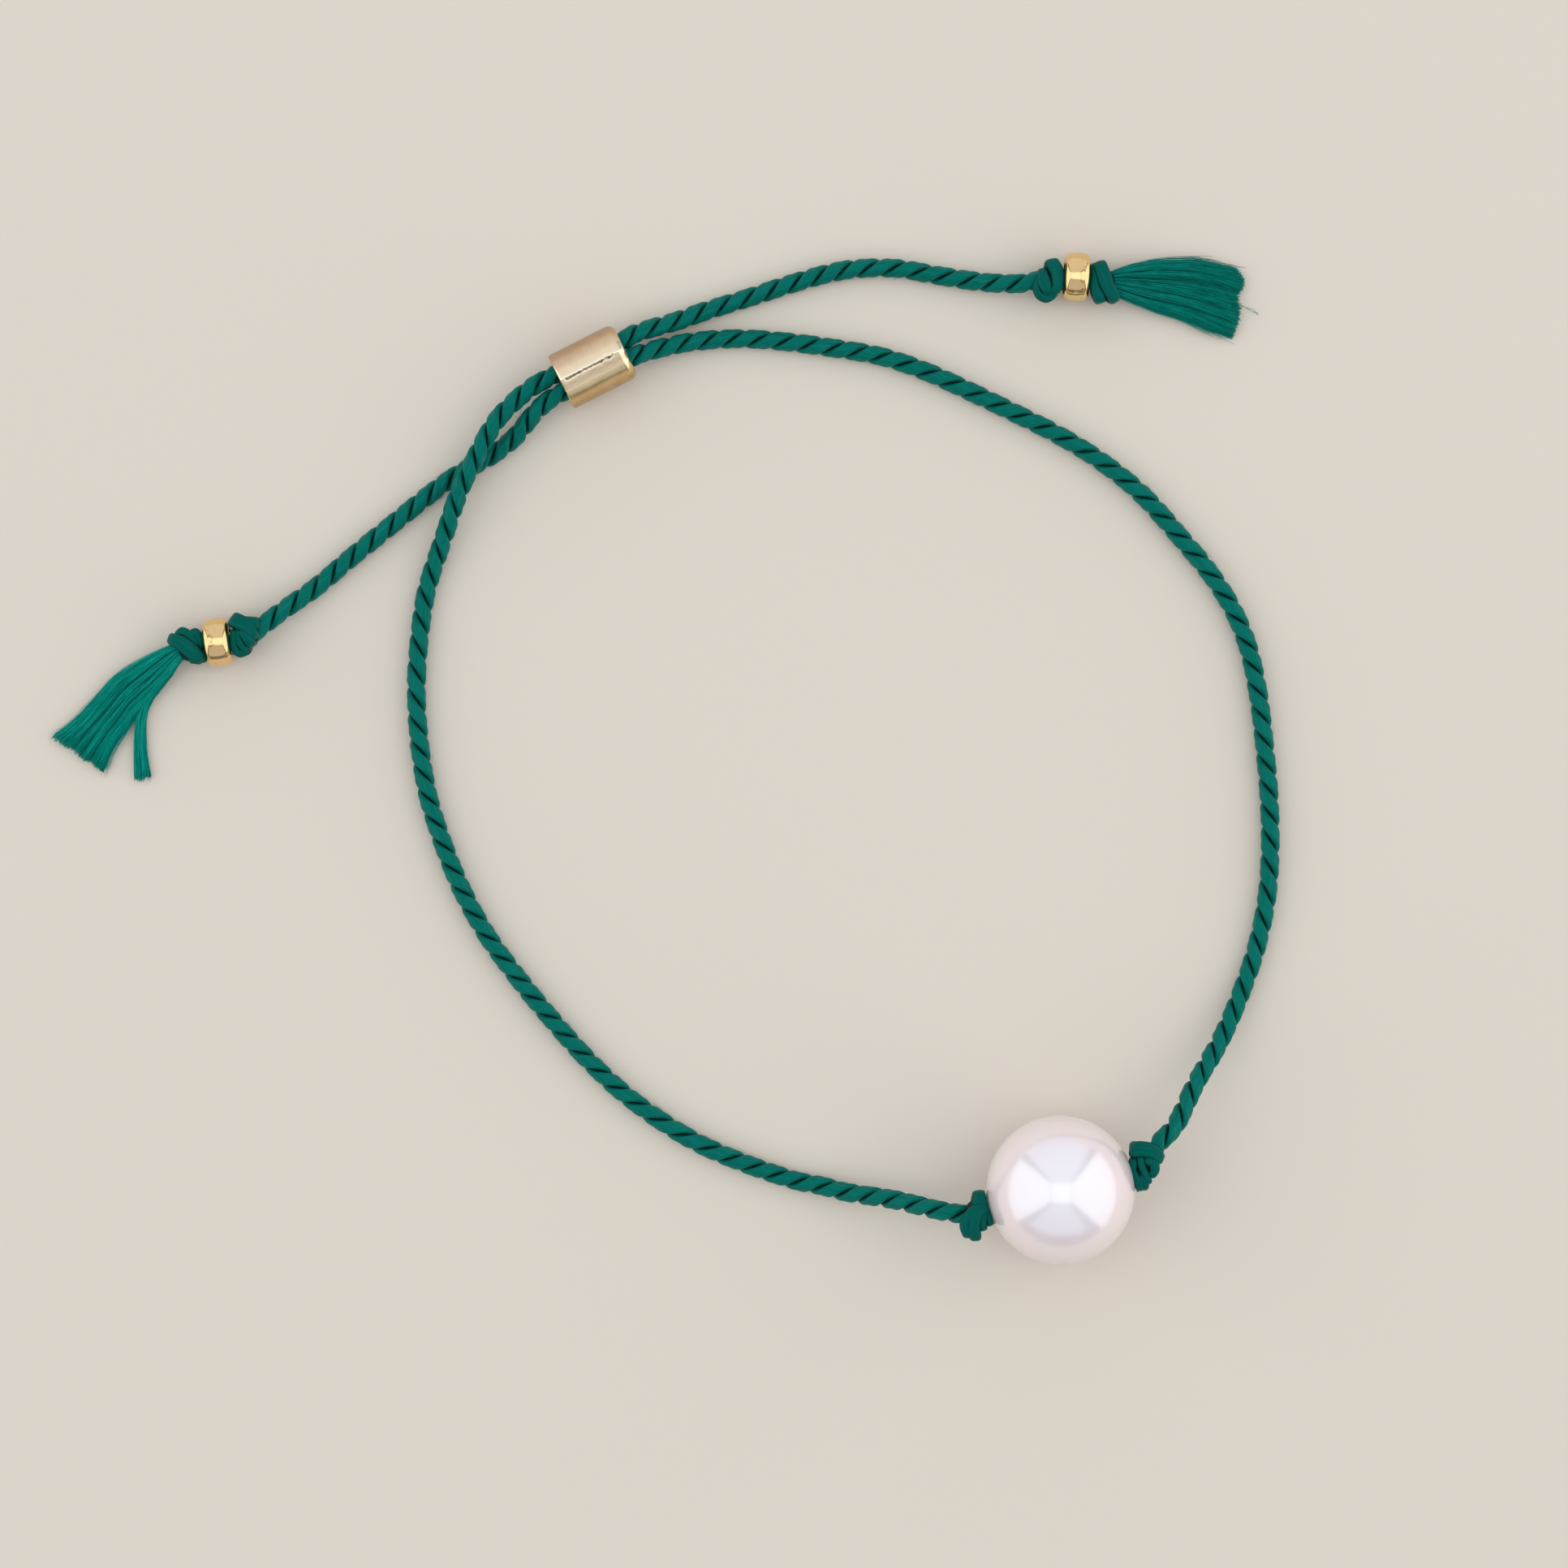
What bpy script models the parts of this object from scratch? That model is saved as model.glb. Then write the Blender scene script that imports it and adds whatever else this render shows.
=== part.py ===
"""Pearl bracelet: a twisted silk cord with one pearl, a sliding tube and two tasselled tails.

The bracelet lies flat on a surface at z = 0, seen from above with +Y up the picture.
Two cords leave the knots on either side of the pearl, run round the wrist opening, pass side by
side through the metal tube and end in tails. Each tail has a metal ring bead held between two
knots, and beyond the outer knot the cord is frayed into a tassel.
Run it with blender --background --python part.py or from the text editor.
"""
import math

import bmesh
import bpy
from mathutils import Matrix, Vector

MM = 0.001

# Cord and the small gaps that keep neighbouring pieces apart
cord_diameter = 1.2 * MM
cord_sides_resolution = 2
cord_point_spacing = 3.1 * MM
soft_gap = 0.2 * MM
bead_gap = 0.1 * MM

# Pearl: a round bead drilled through for the cord
pearl_diameter = 10.0 * MM
pearl_cord_clearance = 0.3 * MM
pearl_centre = Vector((18.6, -27.3, 0.0)) * MM
pearl_axis_angle = math.radians(16.5)
pearl_segments = 40
pearl_steps = 22

# Knots: barrel shapes with the cord's wraps as lobes
pearl_knot_half_length = 1.0 * MM
pearl_knot_radius = 1.6 * MM
tail_knot_half_length = 0.98 * MM
tail_knot_radius = 1.38 * MM
knot_lobe = 0.1
knot_wraps = 2
knot_barrel_power = 2.5
knot_rings = 9
knot_segments = 16

# Sliding tube: both cords pass through it side by side
slider_length = 4.9 * MM
slider_wall = 0.6 * MM
slider_strand_gap = 0.1 * MM
slider_bore_clearance = 0.15 * MM
slider_flat_end_radius = 0.22 * MM
slider_round_end_radius = 0.5 * MM
slider_centre = Vector((-12.92, 28.44, 0.0)) * MM
slider_angle = math.radians(26.8)
slider_lead = 0.35 * MM
slider_segments = 32

# Ring beads on the tails
ring_diameter = 3.3 * MM
ring_width = 1.75 * MM
ring_cord_clearance = 0.35 * MM
ring_edge_radius = 0.5 * MM
ring_centre_left = Vector((-38.5, 9.65, 0.0)) * MM
ring_angle_left = math.radians(8.0)
ring_centre_right = Vector((19.9, 34.5, 0.0)) * MM
ring_angle_right = math.radians(-4.0)
ring_rise_right = 0.2 * MM
ring_segments = 28

# Tassels: frayed cord ends, fans of locks fused at the root
tassel_locks = 7
tassel_lock_overlap = 1.3
tassel_slim_lock = 0.86
tassel_tip_taper = 0.6
tassel_head_length = 0.9 * MM
tassel_head_spread = 1.2
tassel_height = 1.5 * MM
tassel_length_left = 10.9 * MM
tassel_width_left = 4.2 * MM
tassel_angle_left = math.radians(223.0)
tassel_length_right = 9.4 * MM
tassel_width_right = 4.6 * MM
tassel_angle_right = math.radians(-6.7)
side_lock_width = 0.95 * MM
side_lock_root_taper = 0.6
lock_sides = 8

# Seen surfaces: colour, metallic, roughness
SILK = ("silk", (0.004, 0.16, 0.12, 1.0), 0.0, 0.5)
PEARL = ("pearl", (0.86, 0.8, 0.79, 1.0), 0.0, 0.15)
GOLD = ("gold", (0.86, 0.66, 0.4, 1.0), 1.0, 0.28)

cord_radius = cord_diameter / 2
pearl_radius = pearl_diameter / 2
ring_radius = ring_diameter / 2
strand_offset = (cord_diameter + slider_strand_gap) / 2
slider_bore_radius = strand_offset + cord_radius + slider_bore_clearance
slider_radius = slider_bore_radius + slider_wall
pearl_centre.z = pearl_radius
slider_centre.z = slider_radius
ring_centre_left.z = ring_radius
ring_centre_right.z = ring_radius

# Routes of the two cords, chosen by hand, in millimetres: x, y and the height of the cord's middle.
# A row with None stands where the cord goes through the sliding tube.
ROUTE_RIGHT_SIDE = [
    (25.3, -24.1, 4.9), (26.3, -23.1, 4.5), (27.9, -20.2, 3.2), (29.7, -17.4, 1.7),
    (31.2, -14.2, 0.8), (32.3, -11.0, 0.6), (33.0, -7.5, 0.6), (33.2, -4.1, 0.6),
    (33.1, -0.6, 0.6), (32.8, 2.7, 0.6), (32.4, 6.0, 0.6), (31.7, 9.3, 0.6),
    (30.7, 11.8, 0.6), (29.3, 14.1, 0.6), (27.1, 16.8, 0.6), (24.3, 19.9, 0.6),
    (21.4, 22.2, 0.6), (18.6, 23.9, 0.6), (15.6, 25.4, 0.6), (12.7, 26.8, 0.6),
    (9.6, 28.2, 0.6), (6.6, 29.2, 0.6), (3.1, 29.8, 0.6), (0.0, 30.2, 0.6),
    (-3.2, 30.4, 0.62), (-6.6, 30.1, 0.95), (-9.65, 29.3, 1.75),
    None,
    (-16.05, 26.05, 1.9), (-17.0, 25.2, 1.6), (-18.3, 23.7, 1.05), (-19.7, 22.6, 0.68),
    (-22.8, 20.8, 0.6), (-26.9, 17.6, 0.6), (-29.5, 15.5, 0.6), (-32.0, 13.4, 0.62),
    (-34.6, 11.5, 1.2),
]
ROUTE_LEFT_SIDE = [
    (10.8, -28.8, 4.5), (7.6, -28.2, 2.85), (4.2, -27.8, 1.25), (2.5, -27.4, 0.8),
    (0.9, -27.1, 0.62), (-2.4, -26.0, 0.6), (-5.5, -24.7, 0.6), (-8.4, -23.0, 0.6),
    (-11.2, -20.9, 0.6), (-13.6, -18.6, 0.6), (-16.0, -15.9, 0.6), (-18.2, -13.2, 0.6),
    (-20.3, -10.3, 0.6), (-22.0, -7.2, 0.6), (-23.3, -4.0, 0.6), (-24.3, -0.8, 0.6),
    (-24.9, 2.9, 0.6), (-25.1, 6.4, 0.6), (-24.9, 9.9, 0.6), (-24.4, 13.2, 0.6),
    (-23.3, 16.5, 1.0), (-22.1, 19.8, 1.85), (-21.3, 21.5, 2.05), (-19.6, 24.6, 2.1),
    (-18.3, 26.0, 2.05), (-17.0, 27.05, 2.03),
    None,
    (-10.2, 30.6, 1.8), (-7.2, 31.6, 1.0), (-5.6, 32.2, 0.7), (-2.1, 33.3, 0.6),
    (1.0, 34.3, 0.6), (4.3, 35.1, 0.6), (7.6, 35.2, 0.6), (10.6, 34.7, 0.6),
    (13.9, 34.2, 0.85), (16.4, 34.1, 1.5),
]

# Fan of each tassel, from root to cut end. Lengths are shares: forward of the tassel's length,
# side of its width, and middle height and half thickness of its height.
# Columns: forward and side of one edge, forward and side of the other, middle height, half thickness
FAN_LEFT = [
    (0.13, -0.17, 0.13, 0.06, 1.00, 0.40),
    (0.24, -0.43, 0.225, 0.10, 0.62, 0.38),
    (0.47, -0.50, 0.42, 0.11, 0.36, 0.32),
    (0.73, -0.48, 0.63, 0.22, 0.30, 0.27),
    (0.98, -0.47, 0.90, 0.44, 0.24, 0.21),
]
FAN_RIGHT = [
    (0.145, -0.13, 0.145, 0.15, 1.00, 0.40),
    (0.25, -0.18, 0.23, 0.37, 0.62, 0.38),
    (0.53, -0.29, 0.52, 0.50, 0.36, 0.32),
    (0.77, -0.38, 0.77, 0.53, 0.30, 0.27),
    (0.95, -0.47, 0.93, 0.48, 0.24, 0.21),
]
# How much further than the fan's end each lock's tip reaches, as a share of the tassel's length
TIPS_LEFT = (0.02, 0.025, 0.02, 0.03, 0.02, 0.035, 0.02)
TIPS_RIGHT = (0.02, 0.025, 0.03, 0.025, 0.04, 0.055, 0.03)
# The lock that has strayed from the left tassel. Columns: forward, side, middle height, half thickness
SIDE_LOCK = [
    (0.16, -0.03, 0.90, 0.30),
    (0.28, 0.04, 0.55, 0.30),
    (0.43, 0.11, 0.34, 0.28),
    (0.60, 0.42, 0.26, 0.23),
    (0.72, 0.71, 0.22, 0.19),
    (0.81, 0.93, 0.20, 0.17),
]


def clear_scene():
    for obj in list(bpy.data.objects):
        bpy.data.objects.remove(obj, do_unlink=True)


def surface(kind):
    """The material of one kind of surface, made once and shared."""
    name, colour, metallic, roughness = kind
    material = bpy.data.materials.get(name)
    if material is None:
        material = bpy.data.materials.new(name)
        material.use_nodes = True
        shader = material.node_tree.nodes["Principled BSDF"]
        shader.inputs["Base Color"].default_value = colour
        shader.inputs["Metallic"].default_value = metallic
        shader.inputs["Roughness"].default_value = roughness
    return material


def add_object(name, data, kind, parent, location=(0.0, 0.0, 0.0), angle=0.0):
    """Puts a mesh or curve into the scene, under the bracelet's empty."""
    obj = bpy.data.objects.new(name, data)
    data.materials.append(surface(kind))
    bpy.context.scene.collection.objects.link(obj)
    obj.parent = parent
    obj.location = location
    obj.rotation_euler = (0.0, 0.0, angle)
    return obj


def finish_mesh(bm, name, sharp_angle):
    """Turns a bmesh into a mesh with outward faces, smooth but for its sharp edges."""
    bmesh.ops.recalc_face_normals(bm, faces=bm.faces[:])
    mesh = bpy.data.meshes.new(name)
    bm.to_mesh(mesh)
    bm.free()
    mesh.shade_smooth()
    mesh.set_sharp_from_angle(angle=sharp_angle)
    return mesh


def direction(angle):
    return Vector((math.cos(angle), math.sin(angle), 0.0))


def across(angle):
    return Vector((-math.sin(angle), math.cos(angle), 0.0))


def arc(centre, radius, start, stop, steps):
    """Points of a circle's arc in a turned profile, as (along the axis, away from the axis)."""
    points = []
    for i in range(steps + 1):
        turn = start + (stop - start) * i / steps
        points.append((centre[0] + radius * math.cos(turn), centre[1] + radius * math.sin(turn)))
    return points


def turned(name, profile, segments, sharp_angle=math.radians(40)):
    """A closed profile spun round the X axis into a drilled round piece."""
    bm = bmesh.new()
    verts = [bm.verts.new((x, radius, 0.0)) for x, radius in profile]
    edges = [bm.edges.new((verts[i - 1], verts[i])) for i in range(len(verts))]
    bmesh.ops.spin(bm, geom=verts + edges, cent=(0, 0, 0), axis=(1, 0, 0),
                   angle=math.tau, steps=segments, use_merge=True)
    return finish_mesh(bm, name, sharp_angle)


def catmull_rom(p0, p1, p2, p3, share):
    """A point between p1 and p2 on a centripetal Catmull-Rom curve."""
    t0 = 0.0
    t1 = t0 + max(math.sqrt((p1 - p0).length), 1e-6)
    t2 = t1 + max(math.sqrt((p2 - p1).length), 1e-6)
    t3 = t2 + max(math.sqrt((p3 - p2).length), 1e-6)
    t = t1 + (t2 - t1) * share
    a1 = p0 * ((t1 - t) / (t1 - t0)) + p1 * ((t - t0) / (t1 - t0))
    a2 = p1 * ((t2 - t) / (t2 - t1)) + p2 * ((t - t1) / (t2 - t1))
    a3 = p2 * ((t3 - t) / (t3 - t2)) + p3 * ((t - t2) / (t3 - t2))
    b1 = a1 * ((t2 - t) / (t2 - t0)) + a2 * ((t - t0) / (t2 - t0))
    b2 = a2 * ((t3 - t) / (t3 - t1)) + a3 * ((t - t1) / (t3 - t1))
    return b1 * ((t2 - t) / (t2 - t1)) + b2 * ((t - t1) / (t2 - t1))


def smooth_curve(points):
    """A dense row of points on a smooth curve through the given ones."""
    steps = 16
    ends = [points[0] * 2 - points[1]] + points + [points[-1] * 2 - points[-2]]
    dense = []
    for i in range(1, len(ends) - 2):
        for j in range(steps):
            dense.append(catmull_rom(*ends[i - 1:i + 3], j / steps))
    dense.append(points[-1])
    return dense


def evenly_spaced(row, spacing):
    """Points along a dense row, about one spacing apart, with both of its ends."""
    lengths = [0.0]
    for a, b in zip(row, row[1:]):
        lengths.append(lengths[-1] + (b - a).length)
    count = max(2, round(lengths[-1] / spacing))
    result = []
    k = 0
    for i in range(count + 1):
        target = lengths[-1] * i / count
        while k < len(row) - 2 and lengths[k + 1] < target:
            k += 1
        share = (target - lengths[k]) / max(lengths[k + 1] - lengths[k], 1e-9)
        result.append(row[k].lerp(row[k + 1], share))
    return result


def join_rows(bm, rows):
    """Faces between each closed row of corners and the next."""
    for a, b in zip(rows, rows[1:]):
        for j in range(len(a)):
            k = (j + 1) % len(a)
            bm.faces.new((a[j], a[k], b[k], b[j]))


class Knot:
    """Where a knot sits, how it is turned, and how far it reaches along and across the cord."""

    def __init__(self, name, centre, angle, half_length, radius, lobe_start):
        self.name = name
        self.centre = centre
        self.angle = angle
        self.half_length = half_length
        self.radius = radius
        self.lobe_start = lobe_start

    def holds(self, point, margin):
        """True where a point is inside the knot grown by a margin."""
        local = point - self.centre
        along = abs(local.dot(direction(self.angle))) / (self.half_length + margin)
        away = Vector((local.dot(across(self.angle)), local.z)).length
        away /= self.radius * (1 + knot_lobe) + margin
        return along ** knot_barrel_power + away ** knot_barrel_power < 1.0


def build_knot(knot, parent):
    """A barrel whose outside rises in lobes that wind slowly round it, as the wraps do."""
    bm = bmesh.new()
    poles = [bm.verts.new((-knot.half_length, 0, 0)), bm.verts.new((knot.half_length, 0, 0))]
    rows = []
    for i in range(1, knot_rings + 1):
        turn = math.pi * i / (knot_rings + 1)
        x = -math.cos(turn)
        along = math.copysign(abs(x) ** (2 / knot_barrel_power), x) * knot.half_length
        away = math.sin(turn) ** (2 / knot_barrel_power) * knot.radius
        row = []
        for j in range(knot_segments):
            angle = math.tau * j / knot_segments
            lobe = 1 + knot_lobe * math.cos(knot_wraps * angle + math.pi * x + knot.lobe_start)
            reach = away * lobe
            row.append(bm.verts.new((along, reach * math.cos(angle), reach * math.sin(angle))))
        rows.append(row)
    join_rows(bm, rows)
    for pole, row in zip(poles, (rows[0], rows[-1])):
        for j in range(knot_segments):
            bm.faces.new((pole, row[j], row[(j + 1) % knot_segments]))
    mesh = finish_mesh(bm, knot.name, math.pi)
    return add_object(knot.name, mesh, SILK, parent, knot.centre, knot.angle)


def build_pearl(parent):
    """The pearl, drilled along its axis, with the cord's stretch inside it."""
    bore = cord_radius + pearl_cord_clearance
    mouth = math.asin(bore / pearl_radius)
    profile = arc((0.0, 0.0), pearl_radius, mouth, math.pi - mouth, pearl_steps)
    mesh = turned("pearl", profile, pearl_segments)
    add_object("pearl", mesh, PEARL, parent, pearl_centre, pearl_axis_angle)
    reach = pearl_radius - soft_gap
    add_tube("cord_in_pearl", stretch(pearl_centre, pearl_axis_angle, reach), parent)


def stretch(centre, angle, reach):
    """The two ends of a straight run of cord."""
    return [centre - direction(angle) * reach, centre + direction(angle) * reach]


def build_slider(parent):
    """The tube: a crisp rim where the cords leave on the left, a rounded one on the right."""
    half = slider_length / 2
    flat = slider_flat_end_radius
    round_end = slider_round_end_radius
    quarter = math.pi / 2
    profile = [(-half, slider_bore_radius), (half, slider_bore_radius)]
    profile += arc((half - round_end, slider_radius - round_end), round_end, 0.0, quarter, 5)
    profile += arc((flat - half, slider_radius - flat), flat, quarter, math.pi, 3)
    mesh = turned("slider_tube", profile, slider_segments)
    add_object("slider_tube", mesh, GOLD, parent, slider_centre, slider_angle)


def build_ring(name, centre, angle, parent):
    """A short ring bead with well rounded outer edges."""
    half = ring_width / 2
    bore = cord_radius + ring_cord_clearance
    edge = ring_edge_radius
    quarter = math.pi / 2
    profile = [(-half, bore), (half, bore)]
    profile += arc((half - edge, ring_radius - edge), edge, 0.0, quarter, 5)
    profile += arc((edge - half, ring_radius - edge), edge, quarter, math.pi, 5)
    mesh = turned(name, profile, ring_segments)
    return add_object(name, mesh, GOLD, parent, centre, angle)


def add_tube(name, points, parent):
    """A plain round cord along a row of points."""
    curve = bpy.data.curves.new(name, "CURVE")
    curve.dimensions = "3D"
    curve.bevel_depth = cord_radius
    curve.bevel_resolution = cord_sides_resolution
    curve.use_fill_caps = True
    spline = curve.splines.new("POLY")
    spline.points.add(len(points) - 1)
    for slot, point in zip(spline.points, points):
        slot.co = (*point, 1.0)
    return add_object(name, curve, SILK, parent)


def through_slider(side):
    """The straight run inside the tube, from its right mouth to its left one."""
    shift = across(slider_angle) * strand_offset * side
    reach = slider_length / 2 + slider_lead
    return stretch(slider_centre + shift, slider_angle + math.pi, reach)


def route_points(route, side):
    """A route in metres, with its run through the tube filled in on one side of the middle."""
    gap = route.index(None)
    before = [Vector(row) * MM for row in route[:gap]]
    after = [Vector(row) * MM for row in route[gap + 1:]]
    inside = through_slider(side)
    if (before[-1] - inside[0]).length > (before[-1] - inside[1]).length:
        inside.reverse()
    return before + inside + after


def trimmed(dense, knot):
    """Drops the start of a row of points where the cord would still be inside its knot."""
    for i in range(len(dense) - 1):
        heading = (dense[i + 1] - dense[i]).normalized()
        level = heading.cross(Vector((0, 0, 1))).normalized() * cord_radius
        upright = heading.cross(level).normalized() * cord_radius
        rim = [dense[i], dense[i] + level, dense[i] - level, dense[i] + upright, dense[i] - upright]
        if not any(knot.holds(point, soft_gap) for point in rim):
            return dense[i:]
    return dense[-2:]


def build_cord(name, route, side, first_knot, last_knot, parent):
    """A cord from one knot to another by way of its route and the sliding tube."""
    points = [first_knot.centre.copy()] + route_points(route, side) + [last_knot.centre.copy()]
    dense = evenly_spaced(smooth_curve(points), cord_radius / 6)
    dense = trimmed(dense, first_knot)
    dense = trimmed(dense[::-1], last_knot)[::-1]
    return add_tube(name, evenly_spaced(dense, cord_point_spacing), parent)


def section_rows(table, steps):
    """Rows of a table of sections, with smooth rows between them."""
    rows = [Vector(row) for row in table]
    ends = [rows[0] * 2 - rows[1]] + rows + [rows[-1] * 2 - rows[-2]]
    result = []
    for i in range(1, len(ends) - 2):
        for j in range(steps):
            t = j / steps
            a, b, c, d = ends[i - 1:i + 3]
            point = b + (c - a) * (t / 2) + (a * 2 - b * 5 + c * 4 - d) * (t * t / 2)
            result.append(point + (b * 3 - a - c * 3 + d) * (t * t * t / 2))
    result.append(rows[-1])
    return result


def add_lock(bm, middles, halves, thicknesses):
    """One lock of silk: an oval section swept along its middles, closed at both ends."""
    rows = []
    for middle, half, thick in zip(middles, halves, thicknesses):
        row = []
        for j in range(lock_sides):
            angle = math.tau * j / lock_sides
            rise = Vector((0.0, 0.0, thick * math.sin(angle)))
            row.append(bm.verts.new(middle + half * math.cos(angle) + rise))
        rows.append(row)
    join_rows(bm, rows)
    bm.faces.new(rows[0][::-1])
    bm.faces.new(rows[-1])


def add_fan(bm, table, tips, length, width):
    """The locks of a tassel, side by side across each section of its fan."""
    rows = section_rows(table, 2)
    for k in range(tassel_locks):
        share = (k + 0.5) / tassel_locks
        middles = []
        halves = []
        thicknesses = []
        fullness = 1.0 if k % 2 == 0 else tassel_slim_lock
        for row in rows:
            one = Vector((row[0] * length, row[1] * width, row[4] * tassel_height))
            other = Vector((row[2] * length, row[3] * width, row[4] * tassel_height))
            thick = row[5] * tassel_height
            middles.append(one.lerp(other, share) + Vector((0, 0, (fullness - 1) * thick)))
            halves.append((other - one) / tassel_locks / 2 * tassel_lock_overlap)
            thicknesses.append(thick * fullness)
        heading = (middles[-1] - middles[-2]).normalized()
        middles.append(middles[-1] + heading * tips[k] * length)
        halves.append(halves[-1] * tassel_tip_taper)
        thicknesses.append(thicknesses[-1] * tassel_tip_taper)
        add_lock(bm, middles, halves, thicknesses)


def add_side_lock(bm, table, length, width):
    """A single lock that has strayed to one side of its tassel."""
    middles = []
    thicknesses = []
    for row in section_rows(table, 2):
        middles.append(Vector((row[0] * length, row[1] * width, row[2] * tassel_height)))
        thicknesses.append(row[3] * tassel_height)
    halves = []
    for i, middle in enumerate(middles):
        heading = middles[min(i + 1, len(middles) - 1)] - middles[max(i - 1, 0)]
        heading.z = 0.0
        share = min(1.0, side_lock_root_taper + 0.1 * i)
        halves.append(heading.normalized().cross(Vector((0, 0, 1))) * side_lock_width / 2 * share)
    add_lock(bm, middles, halves, thicknesses)


def build_tassel(name, knot, angle, length, width, table, tips, side_lock, parent):
    """A frayed end: locks in a fan, fused with a head where they leave the knot."""
    bm = bmesh.new()
    add_fan(bm, table, tips, length, width)
    if side_lock:
        add_side_lock(bm, side_lock, length, width)
    foot = Vector((knot.centre.x, knot.centre.y, 0.0))
    tassel = add_object(name, finish_mesh(bm, name, math.radians(60)), SILK, parent, foot, angle)

    root = table[0]
    bm = bmesh.new()
    bmesh.ops.create_uvsphere(bm, u_segments=14, v_segments=8, radius=1.0)
    size = Vector((tassel_head_length, (root[3] - root[1]) * width, root[5] * 2 * tassel_height)) / 2
    size.yz *= tassel_head_spread
    middle = Vector(((root[0] + root[2]) * length, (root[1] + root[3]) * width, 0.0)) / 2
    middle += Vector((size.x * tassel_tip_taper, 0.0, root[4] * tassel_height))
    bmesh.ops.transform(bm, matrix=Matrix.LocRotScale(middle, None, size), verts=bm.verts[:])
    head = add_object(name + "_head", finish_mesh(bm, name + "_head", math.pi), SILK, parent, foot, angle)
    head.hide_render = True
    head.display_type = "WIRE"
    fuse = tassel.modifiers.new("fuse locks", "BOOLEAN")
    fuse.operation = "UNION"
    fuse.solver = "EXACT"
    fuse.use_self = True
    fuse.object = head
    return tassel


def centre_on_origin(root):
    """Moves the bracelet so that the middle of its foot is at the origin."""
    bpy.context.view_layer.update()
    graph = bpy.context.evaluated_depsgraph_get()
    low = Vector((math.inf,) * 3)
    high = Vector((-math.inf,) * 3)
    for obj in bpy.data.objects:
        if obj.type == "EMPTY" or obj.hide_render:
            continue
        shown = obj.evaluated_get(graph)
        mesh = shown.to_mesh()
        for vert in mesh.vertices:
            point = shown.matrix_world @ vert.co
            low = Vector(map(min, low, point))
            high = Vector(map(max, high, point))
        shown.to_mesh_clear()
    root.location = (-(low.x + high.x) / 2, -(low.y + high.y) / 2, -low.z)
    bpy.context.view_layer.update()


def main():
    clear_scene()
    root = bpy.data.objects.new("bracelet", None)
    bpy.context.scene.collection.objects.link(root)

    pearl_knot_at = pearl_radius + pearl_knot_half_length
    ring_knot_at = ring_width / 2 + bead_gap + tail_knot_half_length
    line_right = ring_centre_right - across(ring_angle_right) * ring_rise_right
    pearl_ends = stretch(pearl_centre, pearl_axis_angle, pearl_knot_at)
    left_ends = stretch(ring_centre_left, ring_angle_left, ring_knot_at)
    right_ends = stretch(line_right, ring_angle_right, ring_knot_at)
    big = (pearl_knot_half_length, pearl_knot_radius)
    small = (tail_knot_half_length, tail_knot_radius)
    knots = {
        "pearl_left": Knot("knot_pearl_left", pearl_ends[0], pearl_axis_angle, *big, 0.6),
        "pearl_right": Knot("knot_pearl_right", pearl_ends[1], pearl_axis_angle, *big, 2.4),
        "left_outer": Knot("knot_left_outer", left_ends[0], ring_angle_left, *small, 0.0),
        "left_inner": Knot("knot_left_inner", left_ends[1], ring_angle_left, *small, 1.9),
        "right_inner": Knot("knot_right_inner", right_ends[0], ring_angle_right, *small, 1.2),
        "right_outer": Knot("knot_right_outer", right_ends[1], ring_angle_right, *small, 3.0),
    }
    for knot in knots.values():
        build_knot(knot, root)

    build_pearl(root)
    build_slider(root)
    build_ring("ring_bead_left", ring_centre_left, ring_angle_left, root)
    build_ring("ring_bead_right", ring_centre_right, ring_angle_right, root)
    inside_ring = ring_width / 2 + bead_gap - soft_gap
    add_tube("cord_in_ring_left", stretch(ring_centre_left, ring_angle_left, inside_ring), root)
    add_tube("cord_in_ring_right", stretch(line_right, ring_angle_right, inside_ring), root)

    build_cord("cord_right_side", ROUTE_RIGHT_SIDE, -1, knots["pearl_right"], knots["left_inner"], root)
    build_cord("cord_left_side", ROUTE_LEFT_SIDE, 1, knots["pearl_left"], knots["right_inner"], root)

    build_tassel("tassel_left", knots["left_outer"], tassel_angle_left, tassel_length_left,
                 tassel_width_left, FAN_LEFT, TIPS_LEFT, SIDE_LOCK, root)
    build_tassel("tassel_right", knots["right_outer"], tassel_angle_right, tassel_length_right,
                 tassel_width_right, FAN_RIGHT, TIPS_RIGHT, None, root)
    centre_on_origin(root)


main()
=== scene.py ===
"""Looks of the pearl bracelet: twisted silk, tight knots, a pearl, metal beads and frayed tassels.

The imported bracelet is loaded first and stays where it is. Each operator then dresses one group of its
pieces, and the first one adds the floor, the lights and the camera. Lengths are in metres.
The file is laid out like an add-on and is run as a script: its panel lists the same operators.
"""
import math

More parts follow.
